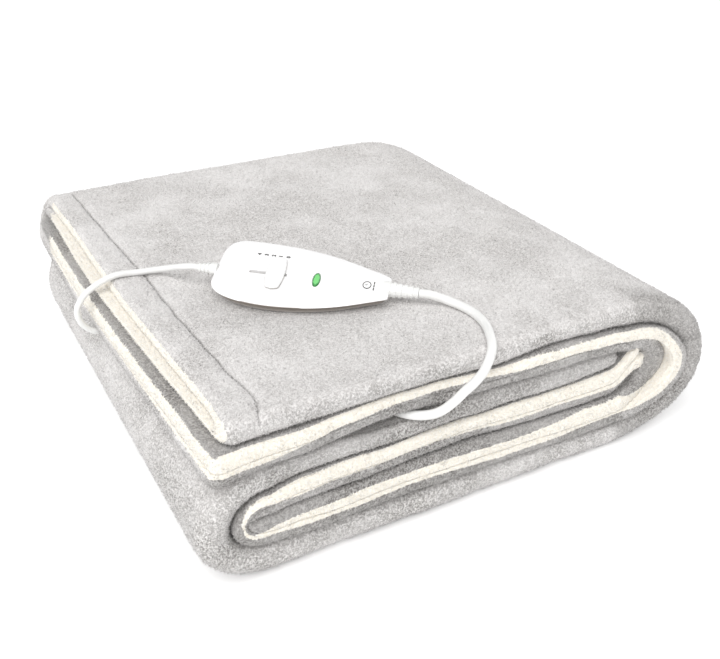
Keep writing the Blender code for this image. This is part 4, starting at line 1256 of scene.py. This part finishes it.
def make_control():
    # The case's faint glow is painted light.
    case = plastic_material("control_white", CASE_WHITE, 0.16, 0.26, 0.03, 0.3, 0.06)
    upper, lower = make_case(case)
    knob = make_knob(plastic_material("knob_white", KNOB_WHITE, 0.2, 0.3, 0.03, 0.2))
    lamp = make_lamp(lamp_material())
    marks = make_marks(plastic_material("print", PRINT_BLACK, 0.5, 0.7))
    for item, slot in ((upper, "control_white"), (lower, "control_white"), (marks, "control_white"),
                       (lamp, "lamp_green")):
        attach(item, "set")
    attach(knob, "slider")
    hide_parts("shell_upper")
    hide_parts("shell_lower")
    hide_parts("slider_knob")
    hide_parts("lamp_window")


# ---- cords
LEAD_DIAMETER, MAINS_DIAMETER = 0.0052, 0.0070
COIL_CENTRE = Vector((0.275, 0.580, 0.0))
COIL_RADIUS = 0.0385
PLUG_PLACE = Vector((0.092, 0.612, 0.00715))
PLUG_LENGTH, PLUG_RELIEF_LENGTH = 0.0375, 0.022
CORD_STRAIGHT = 0.008     # how far a cord runs on straight from its sleeve
MIDDLE_RUN_TOP = 0.0940   # the height of the cloth that the mains cord runs on inside the roll


def bezier_cord(name, points, diameter, material):
    """A round cord on one smooth curve through the points."""
    curve = bpy.data.curves.new(name, "CURVE")
    curve.dimensions = "3D"
    curve.bevel_depth = diameter / 2
    curve.bevel_resolution = 5
    curve.resolution_u = 8
    curve.use_fill_caps = True
    spline = curve.splines.new("BEZIER")
    spline.bezier_points.add(len(points) - 1)
    ends = [points[0] * 2 - points[1], *points, points[-1] * 2 - points[-2]]
    for i, knot in enumerate(spline.bezier_points):
        before, here, after = ends[i], ends[i + 1], ends[i + 2]
        tangent = (after - before).normalized()
        if i == 0:
            tangent = (after - here).normalized()
        knot.co = here
        knot.handle_left_type = knot.handle_right_type = "FREE"
        knot.handle_left = here - tangent * (here - before).length / 3
        knot.handle_right = here + tangent * (after - here).length / 3
    curve.materials.append(material)
    return add_object(name, curve)


def lead_points(start, direction):
    cloth = CLOTH_TOP + LEAD_DIAMETER / 2 + GAP
    rest = (
        (0.0350, 0.2200, cloth + 0.0038),
        (0.0190, 0.2305, cloth),
        (0.0020, 0.2325, cloth + 0.0006),
        (-0.0120, 0.2335, cloth - 0.0035),
        (-0.0238, 0.2345, 0.1300),
        (-0.0308, 0.2350, 0.1210),
        (-0.0325, 0.2352, 0.1125),
        (-0.0295, 0.2352, 0.1030),
        (-0.0218, 0.2350, 0.0950),
        (-0.0120, 0.2350, 0.0930),
        (0.0010, 0.2350, 0.0936),
    )
    return [start, start + direction * CORD_STRAIGHT, *(Vector(p) - MIDDLE for p in rest)]


# The coil's turns, in the order they are wound: each starts at the front of the ring and ends
# there. A move to the next place is made on the left half, from one angle to another (degrees).
Move = namedtuple("Move", "radius_out layer_to begin end")
WINDING = (
    Move(-1, 0, 195, 270),
    Move(-1, 1, 185, 250),
    Move(-1, 2, 155, 235),
    Move(1, 2, 108, 200),
    Move(1, 1, 100, 160),
)
COIL_STEP = 15            # degrees between the coil's points


def coil_points():
    """Five and a half turns, counter-clockwise from the front of the ring to its back."""
    points = []
    side, layer = 1, 0
    half = MAINS_DIAMETER / 2
    for move in (*WINDING, None):
        for degrees in range(-90, 270 if move else 90, COIL_STEP):
            t = 0.0
            new_side, new_layer = side, layer
            if move:
                new_side, new_layer = move.radius_out, move.layer_to
                t = ease((degrees - move.begin) / (move.end - move.begin))
            radius = COIL_RADIUS + half * blend(side, new_side, t)
            height = half + GAP + MAINS_DIAMETER * blend(layer, new_layer, t)
            angle = radians(degrees)
            points.append(COIL_CENTRE + Vector((radius * cos(angle), radius * sin(angle), height)))
        side, layer = new_side, new_layer
    return points


def mains_points(start, direction):
    radius = MAINS_DIAMETER / 2
    cloth = CLOTH_TOP + radius + GAP
    channel = MIDDLE_RUN_TOP + radius + 2 * GAP
    floor = radius + GAP
    coil = coil_points()
    enter_y = COIL_CENTRE.y - COIL_RADIUS - radius
    leave_y = COIL_CENTRE.y + COIL_RADIUS + radius
    plug_end = PLUG_PLACE + Vector((PLUG_LENGTH + PLUG_RELIEF_LENGTH + 2 * GAP, 0.0, 0.0))
    route = [
        (0.2118, 0.0668, cloth + 0.0018),
        (0.2195, 0.0480, cloth),
        (0.2180, 0.0290, cloth),
        (0.2105, 0.0110, cloth + 0.0003),
        (0.2015, -0.0040, cloth - 0.0022),
        (0.1910, -0.0115, cloth - 0.0110),
        (0.1825, -0.0131, cloth - 0.0180),
        (0.1730, -0.0133, 0.1180),
        (0.1635, -0.0122, 0.1102),
        (0.1545, -0.0092, 0.1038),
        (0.1455, -0.0030, channel + 0.0022),
        (0.1365, 0.0070, channel + 0.0005),
        (0.1295, 0.0210, channel),
        (0.1258, 0.0400, channel),
        (0.1240, 0.1200, channel),
        (0.1240, 0.2100, channel),
        (0.1240, 0.3000, channel),
        (0.1240, 0.3800, channel),
        (0.1240, 0.4250, channel),
        (0.1240, 0.4400, channel),
        (0.1240, 0.4610, channel - 0.0090),
        (0.1240, 0.4700, channel - 0.0300),
        (0.1242, 0.4725, 0.0420),
        (0.1244, 0.4790, 0.0205),
        (0.1250, 0.4930, floor + 0.0035),
        (0.1275, 0.5100, floor),
        (0.1385, 0.5280, floor),
        (0.1620, enter_y - 0.0015, floor),
        (0.2000, enter_y, floor),
        (0.2420, enter_y, floor),
        (0.2620, enter_y, floor),
        *coil,
        (0.2750, leave_y, floor + MAINS_DIAMETER),
        (0.2620, leave_y, floor + MAINS_DIAMETER - 0.0004),
        (0.2480, leave_y, floor + 0.0045),
        (0.2320, leave_y, floor + 0.0010),
        (0.2160, leave_y - 0.0010, floor),
        (0.1900, 0.6170, floor + 0.0016),
        (plug_end.x + 0.0120, plug_end.y, plug_end.z),
        tuple(plug_end),
    ]
    return [start, start + direction * CORD_STRAIGHT, *(Vector(p) - MIDDLE for p in route)]


def make_cords(material):
    lead_place, mains_place = control_ends()
    lead_out = lead_place.to_3x3() @ Vector((1.0, 0.0, 0.0))
    mains_out = mains_place.to_3x3() @ Vector((1.0, 0.0, 0.0))
    lead_start = lead_place.translation + lead_out * (LEAD_RELIEF_LENGTH + GAP)
    mains_start = mains_place.translation + mains_out * (MAINS_RELIEF_LENGTH + GAP)
    lead = bezier_cord("lead", lead_points(lead_start, lead_out), LEAD_DIAMETER, material)
    mains = bezier_cord("mains_lead", mains_points(mains_start, mains_out), MAINS_DIAMETER,
                        material)
    for cord in (lead, mains):
        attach(cord, "set")
    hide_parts("lead_cord")
    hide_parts("mains_cord", "mains_coil", "mains_tail")


# ---- studio and lights
FLOOR_HALF, FLOOR_DOWN = 6.0, 0.0002


def make_floor():
    bm = bmesh.new()
    bmesh.ops.create_grid(bm, x_segments=2, y_segments=2, size=FLOOR_HALF)
    mesh = to_mesh(bm, "floor")
    n = Nodes("floor")
    n.drive("Base Color", n.mix(n.noise(0.7, 1.0), (0.94, 0.94, 0.94), (0.96, 0.96, 0.96)))
    n.set(Roughness=0.9, Specular_IOR_Level=0.0, Emission_Color=(1.0, 1.0, 1.0, 1.0),
          Emission_Strength=0.14)
    mesh.materials.append(n.material)
    item = add_object("floor", mesh)
    item.location = (0.0, 0.0, -FLOOR_DOWN)


# The pale studio's brightness near the horizon and overhead, and the slopes between which it fades.
SKY_LOW, SKY_HIGH, SKY_FROM, SKY_TO = 1.0, 0.34, 0.02, 0.45
# Each soft light's name, strength and direction.
LIGHTS = (("softbox", 2.6, (0.62, 0.50, -1.0)), ("rim", 0.75, (-1.0, -0.30, -0.55)))
LIGHT_WIDTH = radians(60.0)


def make_lights():
    """A pale studio all round, a very wide soft light from above the front's left side and a
    weak one from the right and behind."""
    world = bpy.data.worlds.new("studio")
    world.use_nodes = True
    background = world.node_tree.nodes["Background"]
    background.inputs["Color"].default_value = (1.0, 1.0, 1.0, 1.0)
    nodes, link = world.node_tree.nodes, world.node_tree.links.new
    height, strength = nodes.new("ShaderNodeSeparateXYZ"), nodes.new("ShaderNodeMapRange")
    strength.interpolation_type = "SMOOTHSTEP"
    for key, number in (("From Min", SKY_FROM), ("From Max", SKY_TO), ("To Min", SKY_LOW),
                        ("To Max", SKY_HIGH)):
        strength.inputs[key].default_value = number
    link(nodes.new("ShaderNodeTexCoord").outputs["Generated"], height.inputs["Vector"])
    link(height.outputs["Z"], strength.inputs["Value"])
    link(strength.outputs["Result"], background.inputs["Strength"])
    bpy.context.scene.world = world
    for name, energy, toward in LIGHTS:
        data = bpy.data.lights.new(name, "SUN")
        data.energy = energy
        data.angle = LIGHT_WIDTH
        item = add_object(name, data)
        item.rotation_euler = Vector(toward).to_track_quat("-Z", "Y").to_euler()
    bpy.context.scene.view_settings.view_transform = "Standard"
    bpy.context.scene.view_settings.exposure = 0.0


# ---- build
make_camera()
CORD_PLASTIC = plastic_material("cord_white", (0.86, 0.86, 0.845), 0.35, 0.48, 0.10)
make_cords(CORD_PLASTIC)

PLUSH = plush_material()
blanket = make_blanket(PLUSH)
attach(blanket, "set")
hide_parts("blanket")
pile = make_pile(blanket, PLUSH)
for piece in pile:
    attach(piece, "set")

make_control()

PIN_METAL = metal_material()
for finish, names in ((CORD_PLASTIC, ("relief_lead", "relief_mains", "plug_relief", "plug_body")),
                      (PIN_METAL, ("plug_pin_1", "plug_pin_2"))):
    for name in names:
        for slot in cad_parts[name].material_slots:
            slot.material = finish

make_floor()
make_lights()

bpy.context.view_layer.update()
